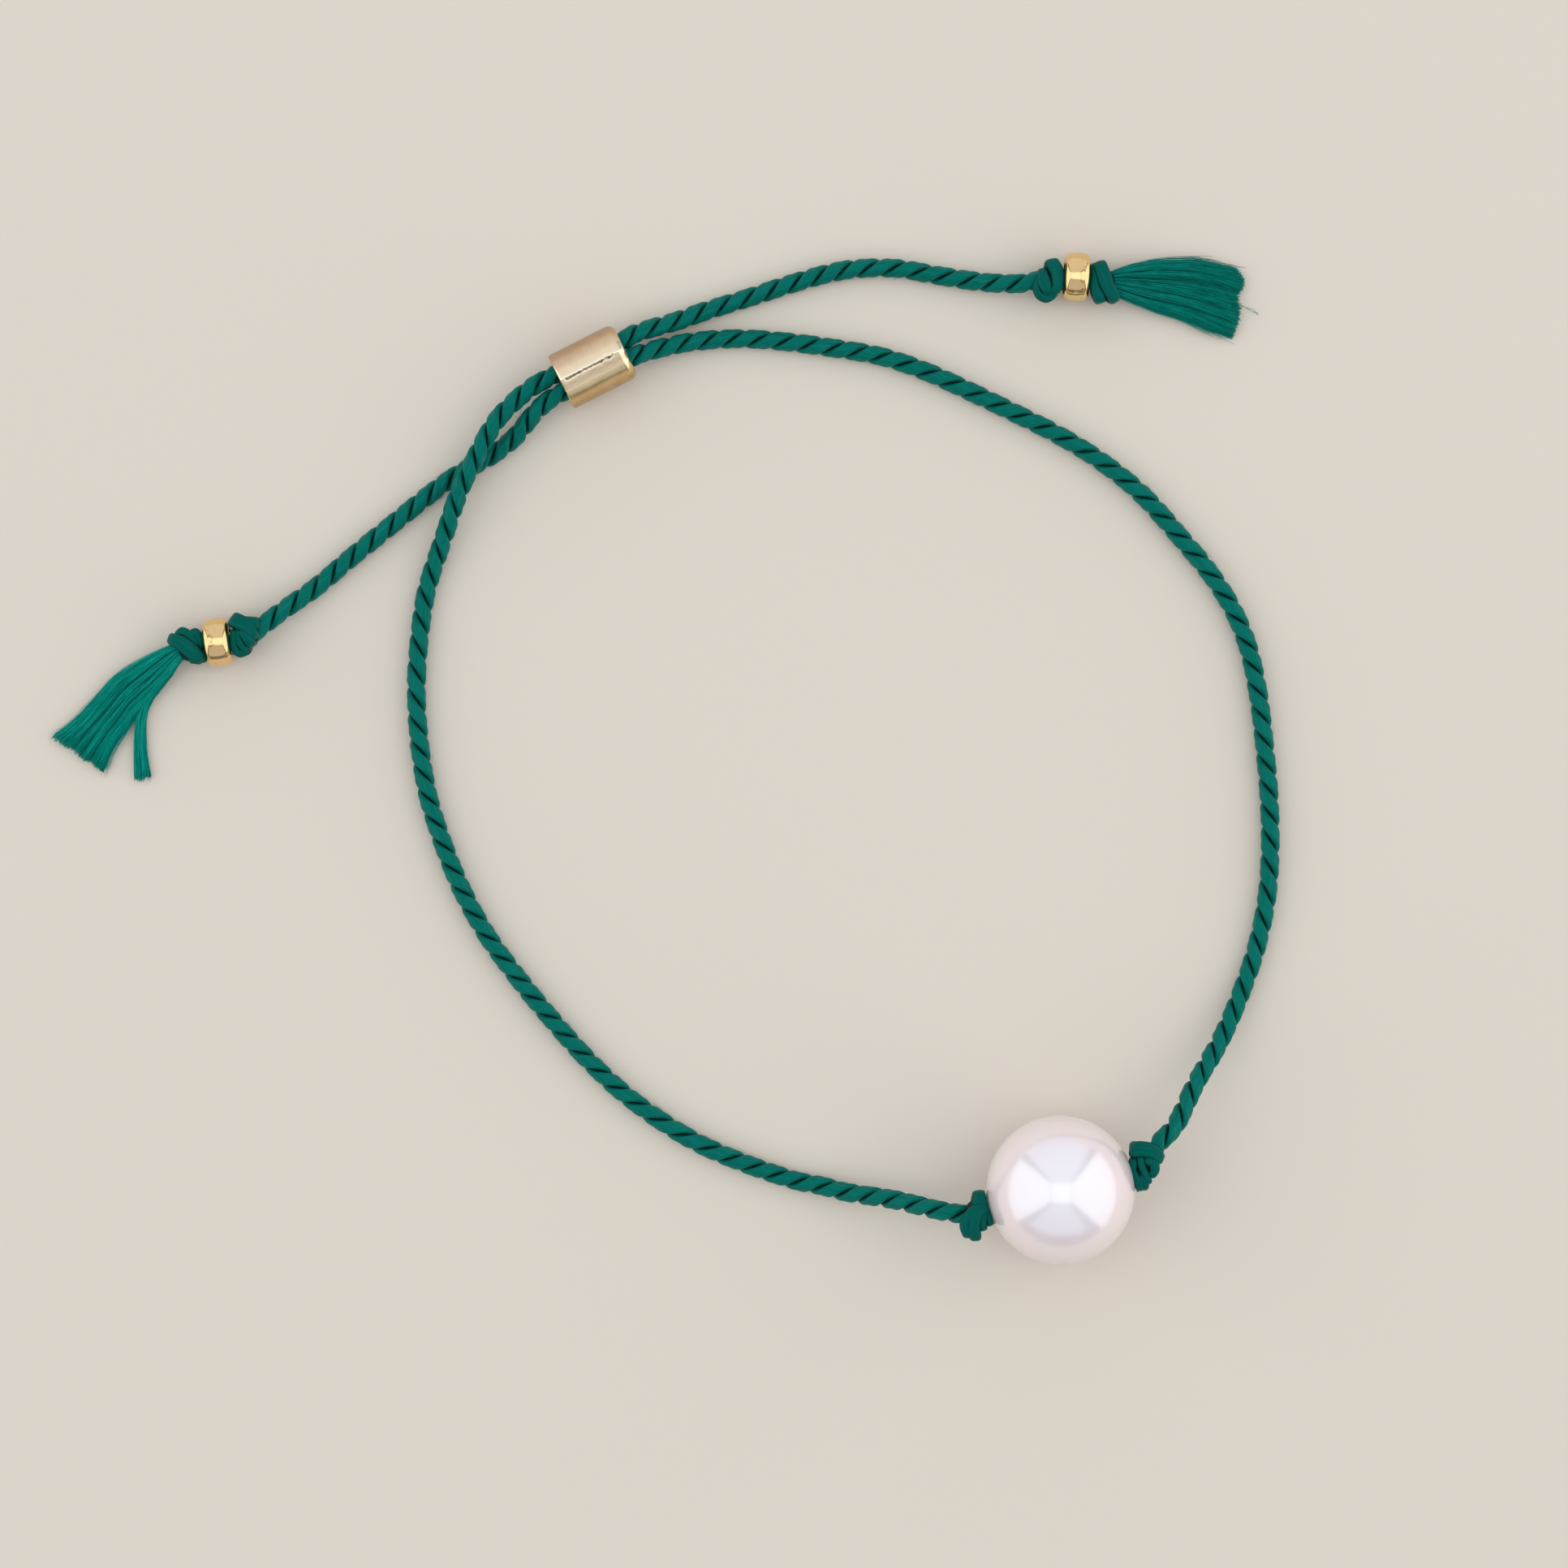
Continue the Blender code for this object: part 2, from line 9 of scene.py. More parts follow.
import bpy
import numpy as np
from bpy.props import FloatProperty, FloatVectorProperty, IntProperty, PointerProperty
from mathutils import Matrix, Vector


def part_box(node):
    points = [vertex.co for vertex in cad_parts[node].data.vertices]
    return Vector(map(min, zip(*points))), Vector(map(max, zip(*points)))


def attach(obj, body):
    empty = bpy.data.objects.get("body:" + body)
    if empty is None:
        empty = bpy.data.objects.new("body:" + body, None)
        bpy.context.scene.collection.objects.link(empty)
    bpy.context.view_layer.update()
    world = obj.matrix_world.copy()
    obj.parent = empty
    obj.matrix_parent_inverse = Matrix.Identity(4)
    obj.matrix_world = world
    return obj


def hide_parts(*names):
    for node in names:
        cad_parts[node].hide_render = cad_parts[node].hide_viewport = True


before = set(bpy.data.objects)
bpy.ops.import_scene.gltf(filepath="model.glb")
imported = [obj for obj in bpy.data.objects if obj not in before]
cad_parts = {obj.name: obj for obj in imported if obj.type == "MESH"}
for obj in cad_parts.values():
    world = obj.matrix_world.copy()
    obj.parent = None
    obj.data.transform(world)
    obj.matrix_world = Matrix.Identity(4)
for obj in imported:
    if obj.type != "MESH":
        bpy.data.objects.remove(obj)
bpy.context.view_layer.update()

bl_info = {
    "name": "Pearl bracelet looks",
    "version": (1, 0, 0),
    "blender": (4, 5, 0),
    "location": "3D View > Sidebar > Bracelet",
    "description": "Dresses the pearl bracelet in silk, nacre and gold",
    "category": "Object",
}

MM = 0.001
BODY = "root"

# Where the pieces lie on the plan that the routes are measured on
PEARL_CENTRE = (0.0186, -0.0273, 0.005)
PEARL_ANGLE = math.radians(16.5)
SLIDER_ANGLE = math.radians(26.8)
# How far the cords run straight beyond each end of the tube, and lie beside its middle line
SLIDER_LEAD = 0.00035
SLIDER_CORD_OFFSET = 0.00065
RING_ANGLE_LEFT = math.radians(8.0)
RING_ANGLE_RIGHT = math.radians(-4.0)
# The lowest that any silk lies above the floor
FLOOR_GAP = 0.00002

# Routes of the two cords on the plan, given as x, y and the height of the cord's middle.
# A row with None stands where the cord goes through the sliding tube.
ROUTE_RIGHT_SIDE = [
    (0.0253, -0.0241, 0.0049), (0.0263, -0.0231, 0.0045), (0.0279, -0.0202, 0.0032),
    (0.0297, -0.0174, 0.0017), (0.0312, -0.0142, 0.0008), (0.0323, -0.0110, 0.0006),
    (0.0330, -0.0075, 0.0006), (0.0332, -0.0041, 0.0006), (0.0331, -0.0006, 0.0006),
    (0.0328, 0.0027, 0.0006), (0.0324, 0.0060, 0.0006), (0.0317, 0.0093, 0.0006),
    (0.0307, 0.0118, 0.0006), (0.0293, 0.0141, 0.0006), (0.0271, 0.0168, 0.0006),
    (0.0243, 0.0199, 0.0006), (0.0214, 0.0222, 0.0006), (0.0186, 0.0239, 0.0006),
    (0.0156, 0.0254, 0.0006), (0.0127, 0.0268, 0.0006), (0.0096, 0.0282, 0.0006),
    (0.0066, 0.0292, 0.0006), (0.0031, 0.0298, 0.0006), (0.0000, 0.0302, 0.0006),
    (-0.0032, 0.0304, 0.00062), (-0.0066, 0.0301, 0.00095), (-0.00965, 0.0293, 0.00175),
    None,
    (-0.01605, 0.02605, 0.0019), (-0.0170, 0.0252, 0.0016), (-0.0183, 0.0237, 0.00105),
    (-0.0197, 0.0226, 0.00068), (-0.0228, 0.0208, 0.0006), (-0.0269, 0.0176, 0.0006),
    (-0.0295, 0.0155, 0.0006), (-0.0320, 0.0134, 0.00062), (-0.0346, 0.0115, 0.0012),
]
ROUTE_LEFT_SIDE = [
    (0.0108, -0.0288, 0.0045), (0.0076, -0.0282, 0.00285), (0.0042, -0.0278, 0.00125),
    (0.0025, -0.0274, 0.0008), (0.0009, -0.0271, 0.00062), (-0.0024, -0.0260, 0.0006),
    (-0.0055, -0.0247, 0.0006), (-0.0084, -0.0230, 0.0006), (-0.0112, -0.0209, 0.0006),
    (-0.0136, -0.0186, 0.0006), (-0.0160, -0.0159, 0.0006), (-0.0182, -0.0132, 0.0006),
    (-0.0203, -0.0103, 0.0006), (-0.0220, -0.0072, 0.0006), (-0.0233, -0.0040, 0.0006),
    (-0.0243, -0.0008, 0.0006), (-0.0249, 0.0029, 0.0006), (-0.0251, 0.0064, 0.0006),
    (-0.0249, 0.0099, 0.0006), (-0.0244, 0.0132, 0.0006), (-0.0233, 0.0165, 0.0010),
    (-0.0221, 0.0198, 0.00185), (-0.0213, 0.0215, 0.00205), (-0.0196, 0.0246, 0.0021),
    (-0.0183, 0.0260, 0.00205), (-0.0170, 0.02705, 0.00203),
    None,
    (-0.0102, 0.0306, 0.0018), (-0.0072, 0.0316, 0.0010), (-0.0056, 0.0322, 0.0007),
    (-0.0021, 0.0333, 0.0006), (0.0010, 0.0343, 0.0006), (0.0043, 0.0351, 0.0006),
    (0.0076, 0.0352, 0.0006), (0.0106, 0.0347, 0.0006), (0.0139, 0.0342, 0.00085),
    (0.0164, 0.0341, 0.0015),
]

# A pale filament that has come loose where the cords cross
LOOSE_FILAMENT = [
    (-0.0190, 0.0252, 0.0027), (-0.0189, 0.0255, 0.0029), (-0.0185, 0.0256, 0.0030),
    (-0.0182, 0.0253, 0.0031), (-0.0183, 0.0250, 0.0030), (-0.0181, 0.0248, 0.0029),
    (-0.0179, 0.0250, 0.0029), (-0.0178, 0.0254, 0.0028),
]

# Fan of each tassel, from root to cut end. Lengths are shares: forward of the tassel's length,
# side of its width, and middle height and half thickness of its height.
# Columns: forward and side of one edge, forward and side of the other, middle height, half thickness
FAN_LEFT = [
    (-0.02, -0.10, -0.02, 0.08, 1.00, 0.30),
    (0.08, -0.22, 0.08, 0.06, 1.00, 0.36),
    (0.20, -0.345, 0.20, 0.13, 0.72, 0.38),
    (0.345, -0.44, 0.36, 0.17, 0.48, 0.36),
    (0.48, -0.495, 0.49, 0.17, 0.38, 0.32),
    (0.74, -0.43, 0.66, 0.255, 0.30, 0.27),
    (0.88, -0.42, 0.80, 0.33, 0.26, 0.24),
    (1.00, -0.46, 0.93, 0.48, 0.24, 0.21),
]
FAN_RIGHT = [
    (0.00, -0.12, 0.00, 0.12, 1.00, 0.30),
    (0.11, -0.19, 0.11, 0.24, 0.95, 0.36),
    (0.25, -0.263, 0.22, 0.335, 0.62, 0.38),
    (0.43, -0.33, 0.36, 0.42, 0.45, 0.34),
    (0.60, -0.385, 0.52, 0.47, 0.36, 0.32),
    (0.77, -0.48, 0.74, 0.50, 0.30, 0.27),
    (0.97, -0.57, 0.95, 0.45, 0.24, 0.21),
]
# The lock that has strayed from the left tassel, as a narrow fan of its own
FAN_STRAYED = [
    (0.00, -0.05, 0.00, 0.05, 1.00, 0.20),
    (0.16, -0.04, 0.16, 0.10, 0.80, 0.25),
    (0.32, 0.02, 0.29, 0.14, 0.45, 0.28),
    (0.48, 0.117, 0.41, 0.198, 0.30, 0.26),
    (0.565, 0.238, 0.50, 0.307, 0.26, 0.23),
    (0.695, 0.55, 0.64, 0.683, 0.22, 0.19),
    (0.82, 0.924, 0.745, 1.067, 0.20, 0.17),
]
# How far the threads reach at the cut end, from the first edge of the fan to the other
TIPS_LEFT = (1.01, 1.0, 1.01, 0.995, 1.0, 1.01, 0.99, 1.0, 0.995)
TIPS_RIGHT = (0.985, 1.01, 1.025, 1.03, 1.02, 1.0, 1.04, 1.045, 0.985)
TIPS_STRAYED = (1.0, 1.01, 0.99, 1.0)

# Soft lights on the walls and the ceiling of the tent: name, side, lower and upper edge and width as
# shares of the tent, brightness, colour
LIGHTS = [
    ("left_wall", (-1, 0), 0.0, 3.3, 1.70, 1.2, (0.98, 0.99, 1.0)),
    ("right_wall", (1, 0), 0.0, 3.3, 1.70, 1.2, (0.98, 0.99, 1.0)),
    ("back_wall", (0, 1), 0.0, 3.3, 1.70, 0.66, (0.90, 0.91, 1.0)),
    ("front_wall", (0, -1), 0.35, 3.3, 1.5, 0.46, (0.90, 0.91, 1.0)),
    ("ceiling", (0, 0), 3.4, 3.4, 1.90, 1.3, (0.98, 0.99, 1.0)),
]
# The tent stands a little to the left of the camera, so that the pearl shows its walls as it should
TENT_SHIFT = -0.06
WORLD_COLOUR = (1.0, 0.97, 0.93, 1.0)
WORLD_BRIGHTNESS = 0.2
FLOOR_HALF = 3.0

# Settings


class SilkSettings(bpy.types.PropertyGroup):
    cord_diameter: FloatProperty(
        name="Cord", description="Thickness of the twisted cord", default=0.0012, unit="LENGTH")
    twist_pitch: FloatProperty(
        name="Twist pitch", description="Length in which one strand goes once round the cord",
        default=0.00344, unit="LENGTH")
    strand_width: FloatProperty(
        name="Strand width", description="Width of each of the two strands, across their seam",
        default=0.00064, unit="LENGTH")
    strand_height: FloatProperty(
        name="Strand height", description="Height of each of the two strands, along their seam",
        default=0.00102, unit="LENGTH")
    fibre_relief: FloatProperty(
        name="Fibre relief", description="How far the fibre bundles stand out of a strand",
        default=0.000004, unit="LENGTH")
    wrap_thickness: FloatProperty(
        name="Wrap thickness", description="Thickness of the cord where a knot flattens it",
        default=0.00070, unit="LENGTH")
    colour: FloatVectorProperty(
        name="Silk", description="Colour of the silk where light falls on it",
        default=(0.0, 0.137, 0.108), subtype="COLOR", min=0.0, max=1.0)
    # The shade colour is painted shade: between the fibres, and much darkened in the grooves and seams
    shade: FloatVectorProperty(
        name="Silk shade", description="Colour of the silk between its fibres",
        default=(0.0, 0.06, 0.046), subtype="COLOR", min=0.0, max=1.0)
    # The shine colour is a painted highlight on the fibres
    shine: FloatVectorProperty(
        name="Silk shine", description="Colour of the fibres that catch the light",
        default=(0.01, 0.225, 0.19), subtype="COLOR", min=0.0, max=1.0)


class TasselSettings(bpy.types.PropertyGroup):
    height: FloatProperty(
        name="Height", description="Height of the tassels at their root", default=0.0015, unit="LENGTH")
    length_left: FloatProperty(
        name="Left length", description="Length of the left tassel", default=0.0109, unit="LENGTH")
    width_left: FloatProperty(
        name="Left width", description="Width of the left tassel", default=0.0042, unit="LENGTH")
    angle_left: FloatProperty(
        name="Left angle", description="Way that the left tassel points",
        default=math.radians(223.0), subtype="ANGLE")
    length_right: FloatProperty(
        name="Right length", description="Length of the right tassel", default=0.0094, unit="LENGTH")
    width_right: FloatProperty(
        name="Right width", description="Width of the right tassel", default=0.0046, unit="LENGTH")
    angle_right: FloatProperty(
        name="Right angle", description="Way that the right tassel points",
        default=math.radians(-6.7), subtype="ANGLE")
    fibres: IntProperty(
        name="Fibres", description="Threads in each tassel", default=1950)
    fibre_radius: FloatProperty(
        name="Fibre radius", description="Radius of one thread", default=0.000026, unit="LENGTH")


class BeadSettings(bpy.types.PropertyGroup):
    pearl_diameter: FloatProperty(
        name="Pearl", description="Diameter of the pearl", default=0.010, unit="LENGTH")
    pearl_hole: FloatProperty(
        name="Pearl hole", description="Diameter of the pearl's drill hole", default=0.0018,
        unit="LENGTH")
    pearl_colour: FloatVectorProperty(
        name="Nacre", description="Body colour of the pearl", default=(0.92, 0.82, 0.84),
        subtype="COLOR", min=0.0, max=1.0)
    tube_length: FloatProperty(
        name="Tube length", description="Length of the sliding tube", default=0.0049, unit="LENGTH")
    tube_diameter: FloatProperty(
        name="Tube", description="Outer diameter of the sliding tube", default=0.0040, unit="LENGTH")
    tube_bore: FloatProperty(
        name="Tube bore", description="Inner diameter of the sliding tube", default=0.0028,
        unit="LENGTH")
    ring_width: FloatProperty(
        name="Ring width", description="Width of a ring bead", default=0.00175, unit="LENGTH")
    ring_diameter: FloatProperty(
        name="Ring", description="Outer diameter of a ring bead", default=0.0033, unit="LENGTH")
    ring_bore: FloatProperty(
        name="Ring bore", description="Inner diameter of a ring bead", default=0.0019, unit="LENGTH")
    tube_colour: FloatVectorProperty(
        name="Worn gold", description="Colour of the sliding tube", default=(0.80, 0.60, 0.39),
        subtype="COLOR", min=0.0, max=1.0)
    ring_colour: FloatVectorProperty(
        name="Bright gold", description="Colour of the ring beads", default=(0.90, 0.66, 0.32),
        subtype="COLOR", min=0.0, max=1.0)


class StageSettings(bpy.types.PropertyGroup):
    camera_height: FloatProperty(
        name="Camera height", description="Height of the camera above the floor", default=0.298,
        unit="LENGTH")
    lens: FloatProperty(
        name="Lens", description="Focal length on a 36 mm wide sensor, in millimetres", default=100.0)
    tent: FloatProperty(
        name="Light tent", description="Half the width of the tent of soft lights", default=0.6,
        unit="LENGTH")
    floor_colour: FloatVectorProperty(
        name="Floor", description="Colour of the plain floor", default=(0.735, 0.680, 0.597),
        subtype="COLOR", min=0.0, max=1.0)


# Places on the frame


def middle(node):
    low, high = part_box(node)
    return (np.array(low) + np.array(high)) / 2


def plan_shift():
    """From the plan that the routes are measured on to the frame."""
    return middle("pearl") - np.array(PEARL_CENTRE)


def direction(angle):
    return np.array((math.cos(angle), math.sin(angle), 0.0))


def across(angle):
    return np.array((-math.sin(angle), math.cos(angle), 0.0))


# Rows of points

# Least time between two points of a curve, so that equal points do no harm
SHORTEST_TIME = 1e-6


def measured(row):
    """Distance along a row of points to each of them."""
    steps = np.linalg.norm(np.diff(row, axis=0), axis=1)
    return np.concatenate([[0.0], np.cumsum(steps)])


def read_at(rows, along, target):
    """Every column of the rows, read at other distances along them."""
    return np.stack([np.interp(target, along, column) for column in rows.T], axis=1)


def spaced(row, count):
    """The given number of points, evenly spaced along a row."""
    along = measured(row)
    return read_at(row, along, np.linspace(0.0, along[-1], count))


def blend(a, b, start, stop, t):
    """Goes from a at start to b at stop."""
    return a * ((stop - t) / (stop - start)) + b * ((t - start) / (stop - start))


def smooth_curve(points, steps=16):
    """A dense row on a centripetal Catmull-Rom curve through the points."""
    rows = np.asarray(points, float)
    rows = np.vstack([rows[0] * 2 - rows[1], rows, rows[-1] * 2 - rows[-2]])
    dense = []
    for four in zip(rows, rows[1:], rows[2:], rows[3:]):
        times = [0.0]
        for a, b in zip(four, four[1:]):
            times.append(times[-1] + max(np.linalg.norm(b - a) ** 0.5, SHORTEST_TIME))
        t = np.linspace(times[1], times[2], steps, endpoint=False)[:, None]
        threes = [blend(*each, t) for each in zip(four, four[1:], times, times[1:])]
        twos = [blend(*each, t) for each in zip(threes, threes[1:], times, times[2:])]
        dense.append(blend(*twos, times[1], times[2], t))
    dense.append(rows[-2][None])
    return np.vstack(dense)


def unit(rows):
    return rows / np.linalg.norm(rows, axis=-1, keepdims=True)


def headings(row):
    """Unit direction of a row of points at each of them."""
    return unit(np.gradient(row, axis=0))


def carried_sides(row):
    """A sideways and an upward unit vector at each point, turned no more than the row itself."""
    heading = headings(row)
    side = np.cross(heading[0], (0.0, 0.0, 1.0))
    nearly_upright = np.linalg.norm(side) < 0.1
    if nearly_upright:
        side = np.cross(heading[0], (0.0, 1.0, 0.0))
    sides = [unit(side)]
    for way in heading[1:]:
        side = sides[-1] - way * np.dot(sides[-1], way)
        sides.append(unit(side))
    sides = np.array(sides)
    return sides, np.cross(heading, sides)


def wander(rng, columns, rows, spacing):
    """Smooth noise along each column: one random value about every spacing rows."""
    turns = max(2, int(rows / spacing) + 2)
    values = rng.normal(size=(columns, turns))
    places = np.linspace(0, turns - 1, rows)
    return np.array([np.interp(places, np.arange(turns), line) for line in values])



# Meshes


class Shape:
    """Corners, faces and surface values of a mesh while it is put together.

    grain holds where a corner lies on its fibre, in metres, and which fibre it is.
    hollow is 1 on the outside of a piece and 0 at the bottom of its grooves. The silk takes painted
    shade where it is low, and the gold turns darker in its pits.
    """

    def __init__(self):
        self.corners = []
        self.faces = []
        self.grain = []
        self.hollow = []
        self.count = 0

    def add(self, rings, grain=None, hollow=None, round_rows=False):
        """Adds rings of corners, rows by sides, joined into a capped tube or into a whole ring."""
        rows, sides = rings.shape[:2]
        if grain is None:
            grain = np.zeros((rows, sides, 3))
        if hollow is None:
            hollow = np.ones((rows, sides))
        index = np.arange(rows * sides).reshape(rows, sides) + self.count
        after = np.roll(index, -1, axis=1)
        if round_rows:
            a, b, c, d = index, after, np.roll(after, -1, axis=0), np.roll(index, -1, axis=0)
        else:
            a, b, c, d = index[:-1], after[:-1], after[1:], index[1:]
        self.faces += np.stack([a, b, c, d], axis=-1).reshape(-1, 4).tolist()
        if not round_rows:
            self.faces += [index[0][::-1].tolist(), index[-1].tolist()]
        self.corners.append(rings.reshape(-1, 3))
        self.grain.append(grain.reshape(-1, 3))
        self.hollow.append(hollow.reshape(-1))
        self.count += rows * sides

    def build(self, name, material, node, sharp=math.pi):
        """Makes the object, which stands for its node and rides on the bracelet."""
        mesh = bpy.data.meshes.new(name)
        mesh.from_pydata(np.concatenate(self.corners), [], self.faces)
        mesh.update()
        grain = mesh.attributes.new("grain", "FLOAT_VECTOR", "POINT")
        grain.data.foreach_set("vector", np.concatenate(self.grain).astype(np.float32).ravel())
        hollow = mesh.attributes.new("hollow", "FLOAT", "POINT")
        hollow.data.foreach_set("value", np.concatenate(self.hollow).astype(np.float32))
        mesh.shade_smooth()
        if sharp < math.pi:
            mesh.set_sharp_from_angle(angle=sharp)
        mesh.materials.append(material)
        obj = bpy.data.objects.new(name, mesh)
        bpy.context.scene.collection.objects.link(obj)
        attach(obj, BODY)
        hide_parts(node)
        return obj


def placed(rings, centre, angle):
    """Rings made along X, turned and moved to their place."""
    frame_axes = np.stack([direction(angle), across(angle), (0.0, 0.0, 1.0)])
    return rings @ frame_axes + centre


def tube_rings(row, radii, sides, start=0.0):
    """Rings round a row of points, with one radius for each point."""
    side, up = carried_sides(row)
    angle = start + np.linspace(0, math.tau, sides, endpoint=False)[:, None]
    out = np.cos(angle) * side[:, None] + np.sin(angle) * up[:, None]
    return row[:, None] + out * radii[:, None, None]


def lathe(profile, segments):
    """Rings of a closed profile, given as (along X, away from X), turned round X."""
    profile = np.asarray(profile)
    angle = np.linspace(0, math.tau, segments, endpoint=False)
    rings = np.zeros((len(profile), segments, 3))
    rings[..., 0] = profile[:, :1]
    rings[..., 1] = profile[:, 1:] * np.cos(angle)
    rings[..., 2] = profile[:, 1:] * np.sin(angle)
    return rings


def arc(centre, radius, start, stop, steps):
    turn = np.linspace(start, stop, steps + 1)
    return [(centre[0] + radius * math.cos(t), centre[1] + radius * math.sin(t)) for t in turn]


def straight(a, b, steps):
    """Points of a straight run, without its ends."""
    share = np.linspace(0, 1, steps + 1)[1:-1]
    return [tuple(np.array(a) * (1 - s) + np.array(b) * s) for s in share]


# Materials


class Nodes:
    """Adds shader nodes and links in few words."""

    def __init__(self, name):
        self.material = bpy.data.materials.new(name)
        self.material.use_nodes = True
        self.tree = self.material.node_tree
        self.shader = self.tree.nodes["Principled BSDF"]

    def add(self, kind, values=None, **settings):
        node = self.tree.nodes.new("ShaderNode" + kind)
        for name, value in settings.items():
            setattr(node, name, value)
        for name, value in (values or {}).items():
            if isinstance(value, bpy.types.NodeSocket):
                self.tree.links.new(value, node.inputs[name])
            else:
                node.inputs[name].default_value = value
        return node

    def attribute(self, name):
        return self.add("Attribute", attribute_name=name)

    def math(self, operation, a, b):
        return self.add("Math", {0: a, 1: b}, operation=operation).outputs[0]

    def blend(self, a, b, share_of_b):
        """Adds two values, the second with the given share."""
        a, b = self.math("MULTIPLY", a, 1 - share_of_b), self.math("MULTIPLY", b, share_of_b)
        return self.math("ADD", a, b)

    def noise(self, vector, scale, detail, roughness):
        """Noise in a vector that is first scaled by its own factor on each axis."""
        scaled = self.add("VectorMath", {0: vector, 1: scale}, operation="MULTIPLY").outputs[0]
        values = {"Vector": scaled, "Scale": 1.0, "Detail": detail, "Roughness": roughness}
        return self.add("TexNoise", values).outputs["Fac"]

    def ramp(self, factor, stops):
        """A colour ramp. stops are (place, colour)."""
        node = self.add("ValToRGB", {"Fac": factor})
        elements = node.color_ramp.elements
        while len(elements) < len(stops):
            elements.new(0.5)
        for element, (place, colour) in zip(elements, stops):
            element.position = place
            element.color = (*colour, 1.0)
        return node.outputs["Color"]

    def mix(self, factor, a, b):
        """Colour a, or b where the factor is 1."""
        node = self.add("Mix", data_type="RGBA", clamp_factor=True)
        # Of its many sockets, 0 is the factor, and 6 and 7 are the colours
        for socket, value in zip((node.inputs[0], node.inputs[6], node.inputs[7]), (factor, a, b)):
            if isinstance(value, bpy.types.NodeSocket):
                self.tree.links.new(value, socket)
            elif isinstance(value, (int, float)):
                socket.default_value = value
            else:
                socket.default_value = (*value, 1.0)
        return node.outputs[2]

    def range(self, value, low, high):
        """Brings a value between 0 and 1 to another range."""
        values = {"Value": value, "To Min": low, "To Max": high}
        return self.add("MapRange", values).outputs[0]

    def relief(self, height, strength, distance):
        """Bumps on the whole material."""
        values = {"Height": height, "Strength": strength, "Distance": distance}
        self.set(Normal=self.add("Bump", values).outputs[0])

    def set(self, **values):
        """Sets or links the shader's sockets. An underscore in a name stands for a space."""
        for name, value in values.items():
            socket = self.shader.inputs[name.replace("_", " ")]
            if isinstance(value, bpy.types.NodeSocket):
                self.tree.links.new(value, socket)
            else:
                socket.default_value = value


def dimmed(colour, share):
    return tuple(c * share for c in colour)


# Scales of the silk's noises: for a metre along a fibre, from fibre to fibre, from strand to strand
FINE_FIBRES = (900.0, 9.0, 1.0)
BROAD_FIBRES = (260.0, 2.2, 1.0)
DYE_CLOUDS = (70.0, 0.15, 1.0)
# How bright the silk's fibres are painted in the knots and in the tassels, beside those of the cord:
# the knots are darkened as painted shade, the tassels brightened as painted light, the left one more
# than the right
KNOT_PAINTED_SHADE = 0.58
THREAD_PAINTED_LIGHT = {"left": 2.75, "right": 1.88}
# How far the painted shade of the grooves reaches in the tassels
THREAD_GROOVE_SHADE = 0.8


def silk_material(name, settings, groove_share=1.0, light=1.0):
    """Dyed silk: fine fibres along the grain, painted shade between the strands, with a soft sheen.

    A groove_share under 1 narrows the painted shade of the grooves. light brightens the fibres with
    painted light, or dims them with painted shade.
    """
    nodes = Nodes(name)
    grain = nodes.attribute("grain").outputs["Vector"]
    hollow = nodes.attribute("hollow").outputs["Fac"]
    fine = nodes.noise(grain, FINE_FIBRES, 4.0, 0.65)
    broad = nodes.noise(grain, BROAD_FIBRES, 2.0, 0.5)
    dye = nodes.noise(grain, DYE_CLOUDS, 2.0, 0.5)
    streak = nodes.blend(fine, broad, 0.4)
    # Fibre streaks of random tone: their dark stop is painted shade between the fibres, their light stop
    # a painted highlight on them
    colour = nodes.ramp(streak, [
        (0.30, tuple(settings.shade)),
        (0.50, dimmed(settings.colour, light)),
        (0.72, dimmed(settings.shine, light)),
    ])
    colour = nodes.mix(nodes.range(dye, 0.0, 0.35), colour, dimmed(settings.colour, 0.72))
    # Painted shade: towards the bottom of grooves and seams the colour turns to a near-black copy of the
    # shade colour
    groove_shade = nodes.math("POWER", hollow, 1.4 * groove_share)
    colour = nodes.mix(groove_shade, dimmed(settings.shade, 0.12), colour)
    nodes.set(Base_Color=colour, Roughness=nodes.range(fine, 0.38, 0.6), Specular_IOR_Level=0.3,
              Specular_Tint=(0.08, 1.0, 0.9, 1.0), Sheen_Weight=0.06, Sheen_Roughness=0.4,
              Sheen_Tint=(0.15, 0.95, 0.85, 1.0))
    nodes.relief(streak, 0.5, 0.00002)
    return nodes.material


# Scales of the nacre's noises, for a metre
NACRE_CLOUDS = (260.0, 260.0, 260.0)
NACRE_GRAINS = (3000.0, 3000.0, 3000.0)
# Overtone of the pearl, from where it faces the eye to its rim
OVERTONES = [
    (0.00, (0.88, 0.89, 1.00)),
    (0.12, (0.88, 0.87, 0.98)),
    (0.26, (0.90, 0.77, 0.80)),
    (0.50, (0.88, 0.76, 0.75)),
    (1.00, (0.80, 0.71, 0.68)),
]


